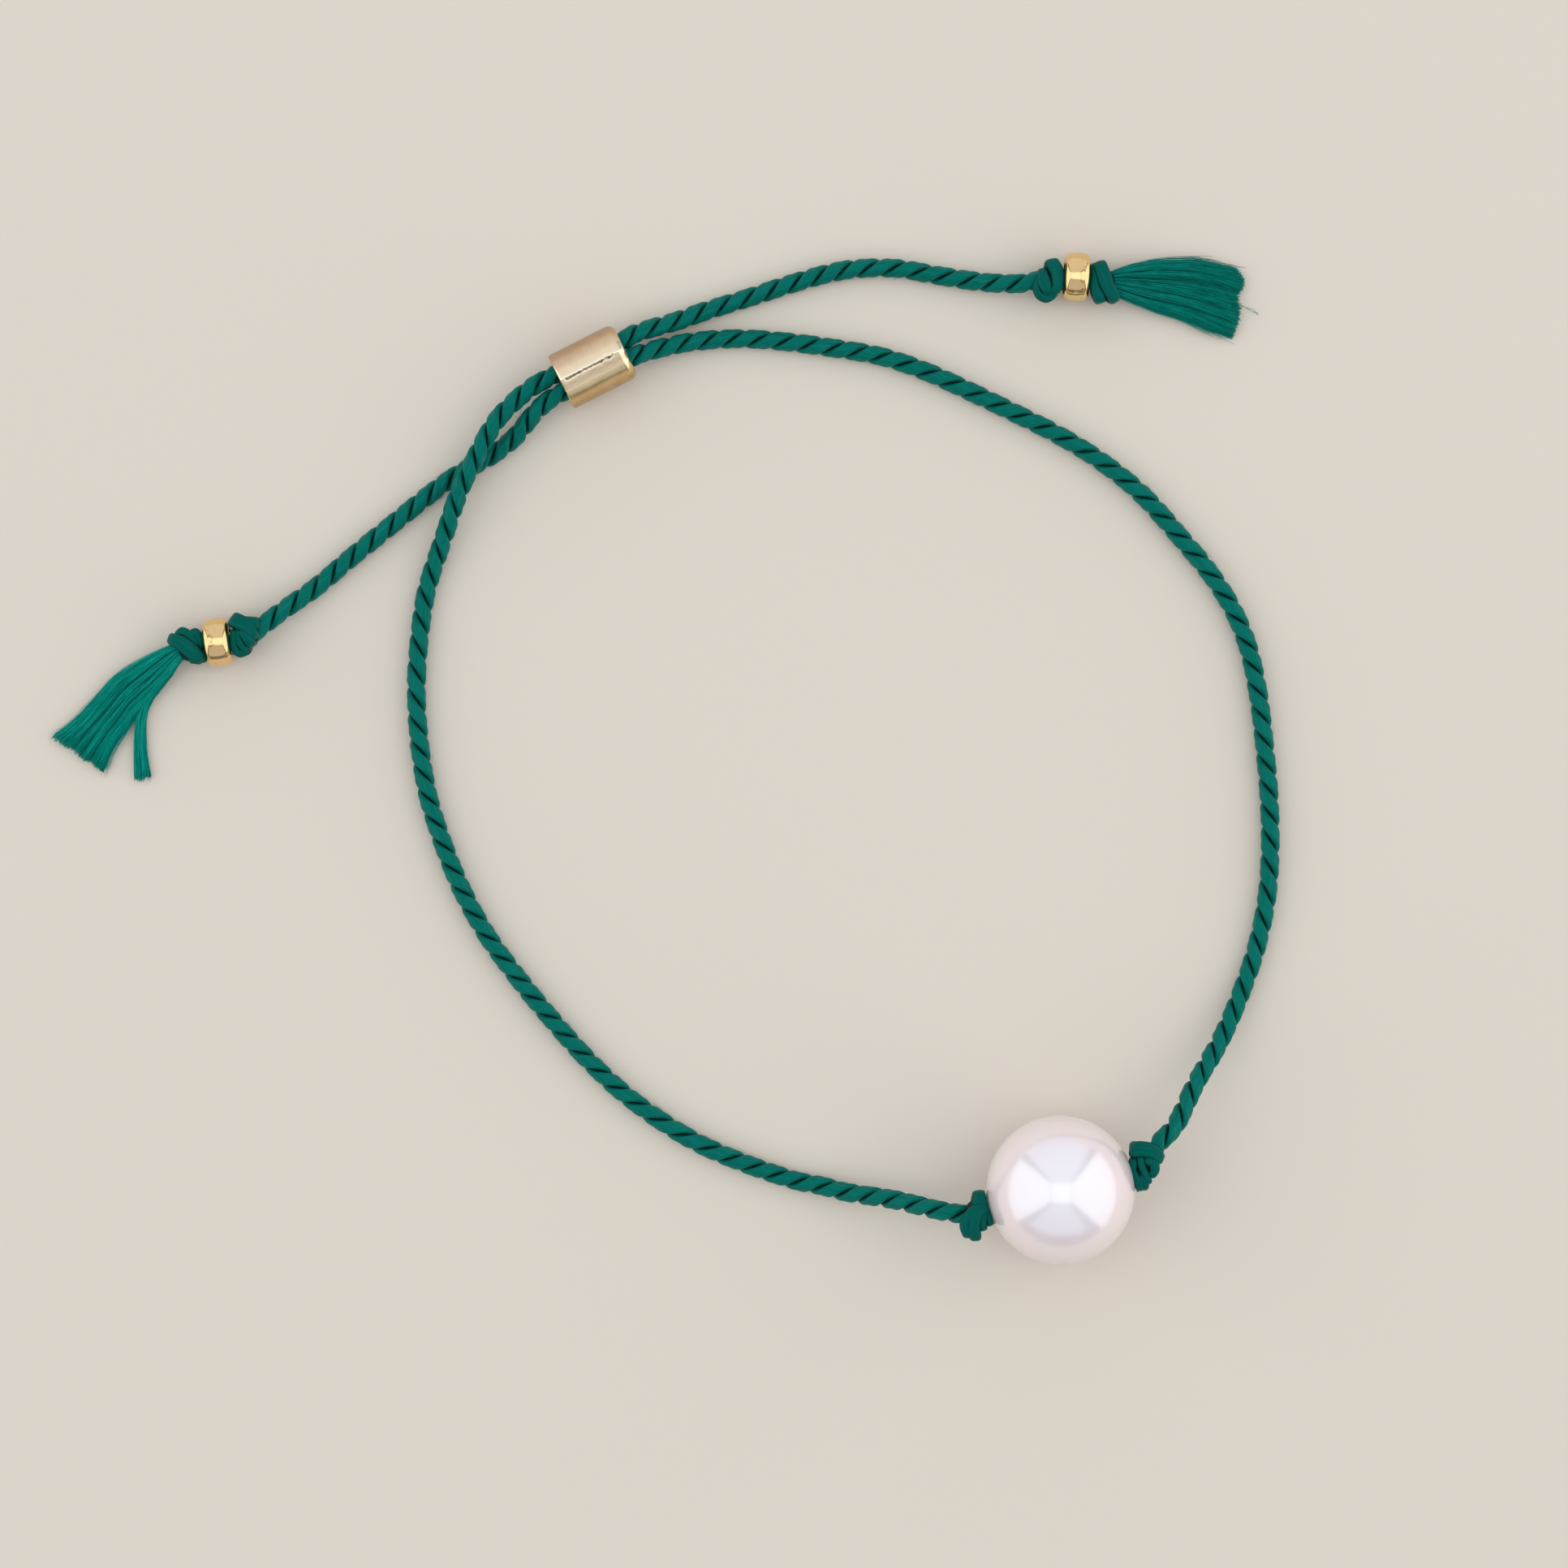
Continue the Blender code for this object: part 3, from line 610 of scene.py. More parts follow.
def nacre_material(settings):
    """Pearl: a milky body under a clear, faintly coloured lustre."""
    nodes = Nodes("nacre")
    place = nodes.add("TexCoord").outputs["Object"]
    cloud = nodes.noise(place, NACRE_CLOUDS, 3.0, 0.5)
    facing = nodes.add("LayerWeight", {"Blend": 0.35}).outputs["Facing"]
    overtone = nodes.ramp(facing, OVERTONES)
    colour = nodes.mix(nodes.range(cloud, 0.15, 0.45), overtone, tuple(settings.pearl_colour))
    nodes.set(Base_Color=colour, Roughness=nodes.range(cloud, 0.20, 0.28), Subsurface_Weight=0.35,
              Subsurface_Radius=(0.9, 0.75, 0.7), Subsurface_Scale=0.0012, Coat_Weight=1.0,
              Coat_Roughness=0.17, Coat_IOR=2.5, Specular_IOR_Level=0.5)
    grains = nodes.noise(place, NACRE_GRAINS, 2.0, 0.5)
    nodes.relief(grains, 0.04, 0.00001)
    return nodes.material


# Scales of the gold's noises, for a metre along and across a bead
GOLD_MOTTLE = (1500.0, 1500.0, 1500.0)
GOLD_SCRATCHES = (700.0, 9000.0, 9000.0)
# Cooler and warmer shades of the plating, as shares of its red, green and blue
COOL_SHADE = (1.02, 1.03, 1.15)
WARM_SHADE = (0.95, 0.86, 0.70)
PIT_COLOUR = (0.05, 0.035, 0.03)
# Painted light and shade, with worn plating, across the tube from its front side over the crest to its
# back side:
# the cream bands are painted highlights, the darkening towards front and back is painted shade, and the
# copper tint of the back side is worn plating. The tones spread over a little more than the tube's
# width, and mottling shifts them by a fraction of it.
TUBE_LIGHT_AND_WEAR = [
    (0.00, (0.40, 0.24, 0.11)),
    (0.14, (0.76, 0.56, 0.26)),
    (0.26, (1.00, 0.84, 0.54)),
    (0.36, (0.78, 0.63, 0.42)),
    (0.50, (1.00, 0.90, 0.68)),
    (0.64, (0.92, 0.73, 0.49)),
    (0.80, (0.68, 0.48, 0.29)),
    (1.00, (0.38, 0.23, 0.14)),
]
TONES_FOR_A_METRE = 245.0
TONE_DRIFT = 0.0006


def gold_material(name, colour, roughness, wear, tones=None):
    """Gold: mottled and finely scratched, darker in its pits, with any given bands of painted highlight,
    shade and wear across it. wear is from 0 to 1.
    """
    nodes = Nodes(name)
    grain = nodes.attribute("grain").outputs["Vector"]
    hollow = nodes.attribute("hollow").outputs["Fac"]
    mottle = nodes.noise(grain, GOLD_MOTTLE, 5.0, 0.6)
    brushed = nodes.noise(grain, GOLD_SCRATCHES, 3.0, 0.6)
    cool = tuple(min(1.0, c * k) for c, k in zip(colour, COOL_SHADE))
    warm = tuple(c * k for c, k in zip(colour, WARM_SHADE))
    shade = nodes.mix(nodes.range(mottle, 0.0, 1.0), warm, cool)
    # Painted highlights and shade, with worn plating, laid in bands across the bead
    if tones:
        place = nodes.add("SeparateXYZ", {0: grain}).outputs["Y"]
        drift = nodes.math("MULTIPLY", nodes.math("SUBTRACT", mottle, 0.5), TONE_DRIFT)
        place = nodes.math("MULTIPLY", nodes.math("ADD", place, drift), TONES_FOR_A_METRE)
        shade = nodes.mix(0.85, shade, nodes.ramp(nodes.math("ADD", place, 0.5), tones))
    shade = nodes.mix(nodes.math("POWER", hollow, 1.5), PIT_COLOUR, shade)
    rough = nodes.math("ADD", nodes.range(mottle, roughness * 0.7, roughness * 1.3),
                       nodes.range(brushed, 0.0, 0.08 * wear))
    nodes.set(Base_Color=shade, Metallic=1.0, Roughness=rough)
    nodes.relief(nodes.blend(mottle, brushed, 0.4), 0.25 * wear, 0.00003)
    return nodes.material


def floor_material(colour):
    """Plain paper, with a faint change of tone over a few centimetres."""
    nodes = Nodes("floor")
    tone = nodes.noise(nodes.add("TexCoord").outputs["Object"], (9.0, 9.0, 9.0), 2.0, 0.5)
    tone = nodes.mix(nodes.range(tone, 0.2, 0.5), tuple(colour), dimmed(colour, 0.97))
    nodes.set(Base_Color=tone, Roughness=0.9, Specular_IOR_Level=0.1)
    return nodes.material


# Pieces


def grain_of(rings, along, fibre, strand=0.0):
    """How far along its fibre each corner lies, which fibre it is on, and on which strand."""
    grain = np.zeros(rings.shape)
    grain[..., 0] = along[:, None]
    grain[..., 1] = fibre
    grain[..., 2] = strand
    return grain


def rounded(angle, power):
    """Cosine and sine of a rounded box. A power of 2 gives a circle."""
    c, s = np.cos(angle), np.sin(angle)
    size = (np.abs(c) ** power + np.abs(s) ** power) ** (-1 / power)
    return c * size, s * size


# Each cord: its route, its side of the tube's middle line, its first and last knot, the turn that its
# strands start at, and the seed of its unevenness
CORDS = {
    "cord_right_side": (ROUTE_RIGHT_SIDE, -1, "knot_pearl_right", "knot_left_inner", 0.4, 1),
    "cord_left_side": (ROUTE_LEFT_SIDE, 1, "knot_pearl_left", "knot_right_inner", 1.1, 2),
}
# How near to the middle of a knot a cord comes
KNOT_REACH = 0.00035
# Length of one row of a strand's corners, and the number of corners in it
ROW_STEP = 0.00016
STRAND_SIDES = 40
# How far the painted shade of the seam between the strands reaches out from the cord's middle
SEAM_SHADE_WIDTH = 0.0001
# How much each strand is boxed, and how far out its middle lies, as a share of its half width
STRAND_POWER = 2.15
STRAND_OUT = 0.96
# Unevenness: slack of the twist in radians, and swelling of a strand as a share of its size
TWIST_SLACK = 0.3
STRAND_SWELL = 0.02
# The fibres run back round the strand, so that on the outside they nearly follow the cord
FIBRE_LAY = 1.05
# Steps of the grain from one row of fibres to the next, and from strand to strand
FIBRE_STEP = 0.45
STRAND_STEP = 7.0
# Loose hairs on each cord, how far from its middle they start, and the loose filament
CORD_HAIRS = 90
HAIR_START = 0.00055
FILAMENT_RADIUS = 0.000013


def cord_path(route, side, first_knot, last_knot):
    """The middle line of one cord, from inside one knot to inside the other."""
    shift = plan_shift()
    gap = route.index(None)
    before = np.array(route[:gap]) + shift
    after = np.array(route[gap + 1:]) + shift
    middle_run = middle("slider_tube") + across(SLIDER_ANGLE) * SLIDER_CORD_OFFSET * side
    half = bpy.context.scene.bracelet_beads.tube_length / 2 + SLIDER_LEAD
    run = np.array([middle_run + direction(SLIDER_ANGLE) * half,
                    middle_run - direction(SLIDER_ANGLE) * half])
    if np.linalg.norm(before[-1] - run[0]) > np.linalg.norm(before[-1] - run[1]):
        run = run[::-1]
    points = np.vstack([middle(first_knot), before, run, after, middle(last_knot)])
    row = smooth_curve(points)
    starts = np.linalg.norm(row - points[0], axis=1) > KNOT_REACH
    ends = np.linalg.norm(row - points[-1], axis=1) > KNOT_REACH
    return row[starts & ends]


def twisted_cord(node, settings, material):
    """Two flattened strands twisted to the left round a cord's path, with fibre bundles on each."""
    route, tube_side, first_knot, last_knot, start_turn, seed = CORDS[node]
    row = cord_path(route, tube_side, first_knot, last_knot)
    rng = np.random.default_rng(seed)
    count = int(measured(row)[-1] / ROW_STEP) + 1
    row = spaced(row, count)
    along = measured(row)
    side, up = carried_sides(row)
    shape = Shape()
    slack = wander(rng, 1, count, spacing=40)[0] * TWIST_SLACK
    swell = 1 + STRAND_SWELL * wander(rng, 2, count, spacing=22)
    half_width = settings.strand_width / 2
    half_height = settings.strand_height / 2
    back = math.tau / settings.twist_pitch * 2 * half_width / half_height * FIBRE_LAY
    turn = start_turn - math.tau * along / settings.twist_pitch + slack
    round_strand = np.linspace(0, math.tau, STRAND_SIDES, endpoint=False)[None, :]
    for strand in range(2):
        now = turn + math.pi * strand
        out = np.cos(now)[:, None] * side + np.sin(now)[:, None] * up
        beside = np.cross(headings(row), out)
        x, y = rounded(round_strand + back * along[:, None], STRAND_POWER)
        bundles = wander(rng, STRAND_SIDES, count, spacing=9).T
        relief = 1 + bundles * settings.fibre_relief / half_width
        x = half_width * STRAND_OUT + half_width * x * relief * swell[strand][:, None]
        y = half_height * y * relief * swell[1 - strand][:, None]
        rings = row[:, None] + out[:, None] * x[..., None] + beside[:, None] * y[..., None]
        rings[..., 2] = np.maximum(rings[..., 2], FLOOR_GAP)
        # Painted shade: each strand darkens towards the seam at the cord's middle
        hollow = np.clip(x / SEAM_SHADE_WIDTH - 0.35, 0, 1)
        fibre = np.arange(STRAND_SIDES)[None, :] * FIBRE_STEP
        shape.add(rings, grain_of(rings, along, fibre, strand * STRAND_STEP + seed), hollow)
    cord_hairs(shape, rng, row, side, up)
    if node == "cord_left_side":
        curved_hair(shape, rng, np.array(LOOSE_FILAMENT) + plan_shift(), FILAMENT_RADIUS)
    obj = shape.build(node + "_silk", material, node)


def hair(shape, rng, line, radius, along):
    """One fine loose fibre along a row of points."""
    rings = tube_rings(line, np.full(len(line), radius), THREAD_SIDES)
    shape.add(rings, grain_of(rings, along, rng.uniform(0, FIBRE_TONES)))


def curved_hair(shape, rng, points, radius):
    """One fine loose fibre through a few points."""
    line = smooth_curve(points, 5)
    line[:, 2] = np.maximum(line[:, 2], FLOOR_GAP)
    hair(shape, rng, line, radius, measured(line))


def cord_hairs(shape, rng, row, side, up):
    """Short loose fibres that lift off a cord, from its outside."""
    for _ in range(CORD_HAIRS):
        length = rng.uniform(0.0005, 0.0016)
        steps = max(4, int(length / ROW_STEP))
        start = rng.integers(5, len(row) - steps - 5)
        turn = rng.uniform(0, math.tau)
        lift = rng.uniform(0.00005, 0.00030)
        points = []
        for share in (0.0, 0.33, 0.66, 1.0):
            at = start + int(share * steps)
            now = turn + share * rng.uniform(-0.5, 0.5)
            out = math.cos(now) * side[at] + math.sin(now) * up[at]
            points.append(row[at] + out * (HAIR_START + lift * share ** 1.3))
        points = points if rng.uniform() < 0.5 else points[::-1]
        curved_hair(shape, rng, points, rng.uniform(0.000006, 0.000011))


# The wraps of each knot as they lie on its upper side, seen from above. Lengths
# are in millimetres from the middle of the knot's node.
# Each knot: angle of its axis, side of its bead, middle of its heart, and its wraps. Each wrap: how
# far it lies above the knot's rounded top, and its points as x, y and half width.
KNOTS = {
    "knot_pearl_left": (PEARL_ANGLE, 1, (0.10, 0.00), [
        (-0.12, [(0.30, 1.35, 0.46), (0.32, 0.95, 0.50), (0.42, 0.40, 0.46)]),
        (0.04, [(0.60, 0.66, 0.24), (0.05, 0.50, 0.32), (-0.42, 0.02, 0.36), (-0.68, -0.55, 0.33),
                (-0.50, -1.08, 0.34)]),
        (0.08, [(0.78, 0.50, 0.22), (0.22, 0.28, 0.34), (-0.05, -0.30, 0.34), (-0.08, -0.85, 0.36),
                (0.00, -1.27, 0.34)]),
        (-0.05, [(0.60, 0.25, 0.24), (0.44, -0.25, 0.27), (0.52, -0.68, 0.24)]),
        (-0.12, [(0.72, 0.68, 0.22), (0.90, 0.10, 0.28), (0.98, -0.30, 0.28)]),
    ]),
    "knot_pearl_right": (PEARL_ANGLE, -1, (-0.10, 0.10), [
        (0.06, [(-0.75, 1.12, 0.48), (-0.20, 1.15, 0.50), (0.42, 0.98, 0.48), (0.78, 0.62, 0.38)]),
        (-0.05, [(-0.86, 0.30, 0.26), (-0.93, -0.20, 0.30), (-0.76, -0.80, 0.38), (-0.50, -1.30, 0.40)]),
        (0.00, [(-0.42, 0.52, 0.22), (-0.33, 0.00, 0.23), (-0.10, -0.50, 0.23), (0.10, -0.92, 0.22)]),
        (0.04, [(0.02, 0.42, 0.22), (0.42, 0.22, 0.30), (0.50, -0.18, 0.28), (0.38, -0.48, 0.24)]),
        (-0.15, [(-0.30, -0.70, 0.30), (-0.22, -1.25, 0.36)]),
    ]),
    "knot_left_outer": (RING_ANGLE_LEFT, 1, (-0.10, 0.00), [
        (0.10, [(-1.02, 0.42, 0.36), (-0.45, 0.18, 0.42), (0.22, -0.32, 0.47), (0.72, -0.78, 0.42)]),
        (-0.10, [(-0.66, 0.80, 0.22), (-0.42, 0.96, 0.26), (-0.02, 0.76, 0.28), (0.38, 0.38, 0.26),
                 (0.62, 0.12, 0.20)]),
        (-0.06, [(0.18, 0.72, 0.24), (0.46, 0.88, 0.28), (0.72, 0.55, 0.26), (0.88, 0.05, 0.22)]),
        (0.00, [(0.30, -0.98, 0.20), (0.62, -1.02, 0.20), (0.92, -0.92, 0.20)]),
    ]),
    "knot_left_inner": (RING_ANGLE_LEFT, -1, (-0.15, 0.20), [
        (0.08, [(-0.68, 1.22, 0.48), (-0.20, 1.02, 0.50), (0.32, 0.66, 0.44), (0.52, 0.32, 0.30)]),
        (0.00, [(0.60, 1.05, 0.36), (0.15, 1.12, 0.34)]),
        (-0.05, [(-0.78, 0.42, 0.20), (-0.80, -0.10, 0.23), (-0.70, -0.65, 0.25), (-0.42, -0.98, 0.25),
                 (-0.05, -0.88, 0.24), (0.12, -0.62, 0.20)]),
        (-0.02, [(-0.46, 0.48, 0.18), (-0.45, 0.00, 0.21), (-0.24, -0.45, 0.22), (-0.05, -0.70, 0.20)]),
        (0.02, [(-0.22, 0.42, 0.24), (0.12, 0.10, 0.34), (0.32, -0.22, 0.30)]),
    ]),
    "knot_right_inner": (RING_ANGLE_RIGHT, 1, (0.05, -0.25), [
        (0.08, [(0.28, 0.82, 0.46), (0.52, 0.35, 0.50), (0.62, -0.25, 0.42), (0.55, -0.78, 0.33),
                (0.38, -1.05, 0.25)]),
        (-0.02, [(-0.38, 0.22, 0.28), (-0.32, -0.25, 0.40), (-0.15, -0.72, 0.38), (-0.05, -0.98, 0.30)]),
        (-0.08, [(-0.62, -0.25, 0.20), (-0.78, -0.75, 0.23), (-0.55, -1.22, 0.25), (-0.08, -1.46, 0.25),
                 (0.32, -1.26, 0.23), (0.50, -0.95, 0.20)]),
    ]),
    "knot_right_outer": (RING_ANGLE_RIGHT, -1, (-0.05, -0.15), [
        (0.08, [(-0.36, 0.95, 0.42), (-0.18, 0.40, 0.42), (0.04, -0.25, 0.44), (0.34, -0.82, 0.44),
                (0.55, -1.12, 0.36)]),
        (-0.06, [(-0.68, 0.92, 0.26), (-0.72, 0.20, 0.28), (-0.66, -0.50, 0.32), (-0.40, -1.15, 0.38)]),
    ]),
}
WRAP_SIDES = 28
WRAP_ROWS = 46
# Half sizes of a knot's rounded top, along which the middles of its wraps lie, and of its heart
KNOT_DOME = np.array((1.50, 1.85, 0.90)) * MM
KNOT_HEART = np.array((0.75, 1.05, 0.80)) * MM
# How much wider the wraps are than their half widths say, and how much they are boxed
WRAP_SPREAD = 1.14
WRAP_POWER = 2.9
# Size of the underside's wraps, which keep inside the outline of the upper ones
UNDERSIDE = 0.93
# How far a knot reaches towards its bead, which presses it flat
KNOT_HALF_LENGTH = 1.09 * MM
# Unevenness of a wrap, as shares of its size, and the step of its grain from fibre to fibre
WRAP_RELIEF = 0.018
WRAP_SWELL = 0.04
WRAP_FIBRE_STEP = 0.55


def wrap_line(points, layer, heart):
    """Rows along a wrap: place, half width and the way its flat side faces. Its ends turn down."""
    points = np.array(points) * MM
    flat = points[:, :2] - heart
    reach = np.minimum(np.linalg.norm(flat / KNOT_DOME[:2], axis=1), 0.95)
    line = np.column_stack([flat, KNOT_DOME[2] * np.sqrt(1 - reach ** 2) + layer * MM])
    rows = np.column_stack([line, points[:, 2], unit(line / KNOT_DOME ** 2)])
    ends = []
    for end, inner in ((0, 1), (-1, -2)):
        way = unit(flat[end] - flat[inner])
        turned_down = flat[end] + way * 0.04 * MM
        heights = (line[end, 2] * 0.45, -0.12 * MM)
        ends.append([(*turned_down, height, points[end, 2], *way, 0.0) for height in heights])
    rows = np.vstack([ends[0][::-1], rows, ends[1]])
    steps = 12
    dense = smooth_curve(rows[:, :3], steps)
    share = np.arange(len(dense)) / steps
    dense = np.column_stack([dense, read_at(rows[:, 3:], np.arange(len(rows)), share)])
    along = measured(dense[:, :3])
    dense = read_at(dense, along, np.linspace(0, along[-1], WRAP_ROWS))
    return dense[:, :3], dense[:, 3], dense[:, 4:]


def ellipsoid(half_sizes, rows, sides):
    """Rings of an oval body along X."""
    place = np.linspace(-0.98, 0.98, rows)[:, None]
    turn = np.linspace(0, math.tau, sides, endpoint=False)[None, :]
    reach = np.sqrt(1 - place ** 2)
    return np.stack([place + 0 * turn, reach * np.cos(turn), reach * np.sin(turn)], axis=-1) * half_sizes


def build_knot(node, settings, material, seed):
    """Flattened wraps of cord over a firm heart. The underside mirrors the upper side."""
    angle, bead_side, heart, wraps = KNOTS[node]
    rng = np.random.default_rng(seed)
    centre = middle(node)
    heart = np.array(heart) * MM
    way_to_bead = direction(angle) * bead_side
    shape = Shape()
    turn = np.linspace(0, math.tau, WRAP_SIDES, endpoint=False)[None, :] + np.zeros((WRAP_ROWS, 1))
    across_wrap, height = rounded(turn, WRAP_POWER)
    # A wrap is painted with shade where it turns in towards the heart, and is a little thinner at its
    # ends
    hollow = np.clip(0.05 + 1.15 * height, 0.04, 1)
    from_end = np.minimum(np.arange(WRAP_ROWS), np.arange(WRAP_ROWS)[::-1])
    ends = np.clip(from_end / 4, 0.7, 1)
    for layer, points in wraps:
        line, half_width, facing = wrap_line(points, layer, heart)
        half_width = half_width * WRAP_SPREAD
        way = headings(line)
        out = unit(facing - way * np.sum(facing * way, axis=1, keepdims=True))
        beside = np.cross(way, out)
        relief = 1 + WRAP_RELIEF * wander(rng, WRAP_SIDES, WRAP_ROWS, spacing=12).T
        swell = 1 + WRAP_SWELL * wander(rng, 1, WRAP_ROWS, spacing=10)[0]
        thick = np.minimum(settings.wrap_thickness / 2, half_width * 0.95)
        x = across_wrap * relief * (half_width * swell * ends)[:, None]
        y = height * relief * (thick * ends)[:, None]
        rings = line[:, None] + beside[:, None] * x[..., None] + out[:, None] * y[..., None]
        fibre = np.arange(WRAP_SIDES)[None, :] * WRAP_FIBRE_STEP
        grain = grain_of(rings, measured(line), fibre, rng.uniform(0, 50))
        for side, size in ((1, 1.0), (-1, UNDERSIDE)):
            turned = (rings * (size, size, side))[:, ::side] + (*heart, 0.0)
            too_far = np.maximum(turned @ way_to_bead - KNOT_HALF_LENGTH, 0)
            turned = turned - too_far[..., None] * way_to_bead + centre
            turned[..., 2] = np.maximum(turned[..., 2], FLOOR_GAP)
            shape.add(turned, grain[:, ::side], hollow[:, ::side])
    rings = placed(ellipsoid(KNOT_HEART, 20, 32), centre + (*heart, 0.0), angle)
    # The heart is painted near-black, as the shade inside the knot
    shape.add(rings, None, np.full(rings.shape[:2], 0.2))
    shape.build(node + "_wraps", material, node)


PEARL_SEGMENTS = 160
PEARL_STEPS = 110
HOLE_RIM = 0.0001


def build_pearl(settings, material):
    """The pearl, with a drill hole whose rims are softened."""
    radius = settings.pearl_diameter / 2
    hole = settings.pearl_hole / 2
    mouth = math.asin(hole / radius)
    start = mouth + HOLE_RIM / radius
    inner = radius * math.cos(mouth) - HOLE_RIM
    bevel = HOLE_RIM * 0.3
    profile = arc((0.0, 0.0), radius, start, math.pi - start, PEARL_STEPS)
    profile += [(-inner - bevel, hole + bevel), (-inner, hole)]
    profile += straight((-inner, hole), (inner, hole), 8)
    profile += [(inner, hole), (inner + bevel, hole + bevel)]
    rings = lathe(profile, PEARL_SEGMENTS)
    shape = Shape()
    shape.add(placed(rings, middle("pearl"), PEARL_ANGLE), rings, round_rows=True)
    shape.build("pearl_nacre", material, "pearl")


def bead_profile(half, bore, outer, left_edge, right_edge, steps, crown=0.0):
    """A drilled bead's closed profile, with rounded outer edges and a slight crown."""
    quarter = math.pi / 2
    lip = 0.00006
    profile = [(lip - half, bore)] + straight((lip - half, bore), (half - lip, bore), 12)
    profile += [(half - lip, bore), (half, bore + lip)]
    profile += arc((half - right_edge, outer - right_edge), right_edge, 0.0, quarter, 14)
    a, b = (half - right_edge, outer), (left_edge - half, outer)
    profile += [(x, y + crown * (1 - (2 * k / steps - 1) ** 2))
                for k, (x, y) in enumerate(straight(a, b, steps), 1)]
    profile += arc((left_edge - half, outer - left_edge), left_edge, quarter, math.pi, 14)
    profile.append((-half, bore + lip))
    return np.array(profile)


def spot(forward, sideways, size):
    """A soft round spot, with 1 in its middle."""
    return np.exp(-(forward ** 2 + sideways ** 2) / size ** 2)


def turned_from(angle, start):
    """Angles from a start, between minus and plus half a turn."""
    return np.angle(np.exp(1j * (angle - start)))


# The sliding tube: radii of its left and right outer edges, and corners along and round it
TUBE_EDGES = (0.00016, 0.00052)
TUBE_STEPS = 100
TUBE_SEGMENTS = 300
# Its soft dents, the close row of pits along its crest and its scattered pits
TUBE_DENTS = 46
CREST_PITS = 70
CREST_PITS_START = -0.00206
CREST_PITS_LENGTH = 0.00355
CREST_PITS_TURN = 0.08
SCATTERED_PITS = 26
DENT_DEPTH = 0.000007
PIT_DEPTH = 0.00005
# Two worn flats that meet just behind the crest: angle from the crest and half the angle they take
TUBE_FLATS = ((0.15, 0.17), (-0.27, 0.25))
GOLD_EDGE = math.radians(50)


def build_tube(settings, material):
    """The sliding tube: softly dented and worn, with a row of pits along its crest."""
    half = settings.tube_length / 2
    outer = settings.tube_diameter / 2
    profile = bead_profile(half, settings.tube_bore / 2, outer, *TUBE_EDGES, TUBE_STEPS)
    rings = lathe(profile, TUBE_SEGMENTS)
    rng = np.random.default_rng(31)
    angle = np.linspace(0, math.tau, TUBE_SEGMENTS, endpoint=False)
    x = rings[..., 0]
    outside = (profile[:, 1] > outer * 0.93)[:, None]
    dents = np.zeros(x.shape)
    for _ in range(TUBE_DENTS):
        place, around = rng.uniform(-half, half), rng.uniform(0, math.tau)
        size = rng.uniform(0.0003, 0.0008)
        off = turned_from(angle, around) * outer
        dents += rng.uniform(-1, 1) * spot(x - place, off, size)
    crest = math.pi / 2
    pits = np.zeros(x.shape)
    for k in range(CREST_PITS):
        share = (k + rng.uniform(-0.4, 0.4)) / (CREST_PITS - 1)
        place = CREST_PITS_START + CREST_PITS_LENGTH * share
        off = (angle - crest - CREST_PITS_TURN) * outer - rng.normal() * 0.000035
        size = rng.uniform(0.00004, 0.000085)
        pits = np.maximum(pits, rng.uniform(0.5, 1.0) * spot(x - place, off, size))
    for _ in range(SCATTERED_PITS):
        place, around = rng.uniform(-half, half), rng.uniform(0, math.pi)
        size = rng.uniform(0.00002, 0.00004)
        pits = np.maximum(pits, 0.35 * spot(x - place, (angle - around) * outer, size))
    flats = np.zeros(TUBE_SEGMENTS)
    for place, wide in TUBE_FLATS:
        off = turned_from(crest - angle, place)
        flats = np.maximum(flats, 1 - math.cos(wide) / np.maximum(np.cos(off), math.cos(wide)))
    sunk = (dents * DENT_DEPTH + pits * PIT_DEPTH + flats[None, :] * outer) * outside
    rings[..., 1:] *= (1 - sunk / outer)[..., None]
    shape = Shape()
    shape.add(placed(rings, middle("slider_tube"), SLIDER_ANGLE), rings, 1 - pits * outside,
              round_rows=True)
    shape.build("slider_tube_worn", material, "slider_tube", GOLD_EDGE)


# The ring beads: angle of their axes, and their soft crown, edges and pits
RINGS = {"ring_bead_left": RING_ANGLE_LEFT, "ring_bead_right": RING_ANGLE_RIGHT}
RING_SEGMENTS = 160
RING_CROWN = 0.00004
RING_EDGE = 0.00045
RING_PITS = 14
RING_PIT_DEPTH = 0.00002


def build_ring(node, settings, material, seed):
    """A ring bead: polished, with a soft crown and a few small pits."""
    rng = np.random.default_rng(seed)
    half = settings.ring_width / 2
    outer = settings.ring_diameter / 2
    profile = bead_profile(half, settings.ring_bore / 2, outer - RING_CROWN, RING_EDGE, RING_EDGE, 24,
                           RING_CROWN)
    rings = lathe(profile, RING_SEGMENTS)
    turn = np.linspace(0, math.tau, RING_SEGMENTS, endpoint=False)
    x = rings[..., 0]
    outside = (profile[:, 1] > outer * 0.8)[:, None]
    pits = np.zeros(x.shape)
    for _ in range(RING_PITS):
        place, around = rng.uniform(-half, half) * 0.9, rng.uniform(0, math.tau)
        off = turned_from(turn, around) * outer
        size = rng.uniform(0.00003, 0.00006)
        pits = np.maximum(pits, rng.uniform(0.4, 1.0) * spot(x - place, off, size))
    # Hammering leaves it very slightly uneven round its axis
    waves = 0.000006 * np.cos(turn * 3 + rng.uniform(0, 6)) + 0.000004 * np.cos(turn * 7 + x * 2000)
    rings[..., 1:] *= (1 - (pits * RING_PIT_DEPTH + waves) * outside / outer)[..., None]
    shape = Shape()
    shape.add(placed(rings, middle(node), RINGS[node]), rings, 1 - 0.7 * pits * outside,
              round_rows=True)
    shape.build(node + "_polished", material, node, GOLD_EDGE)


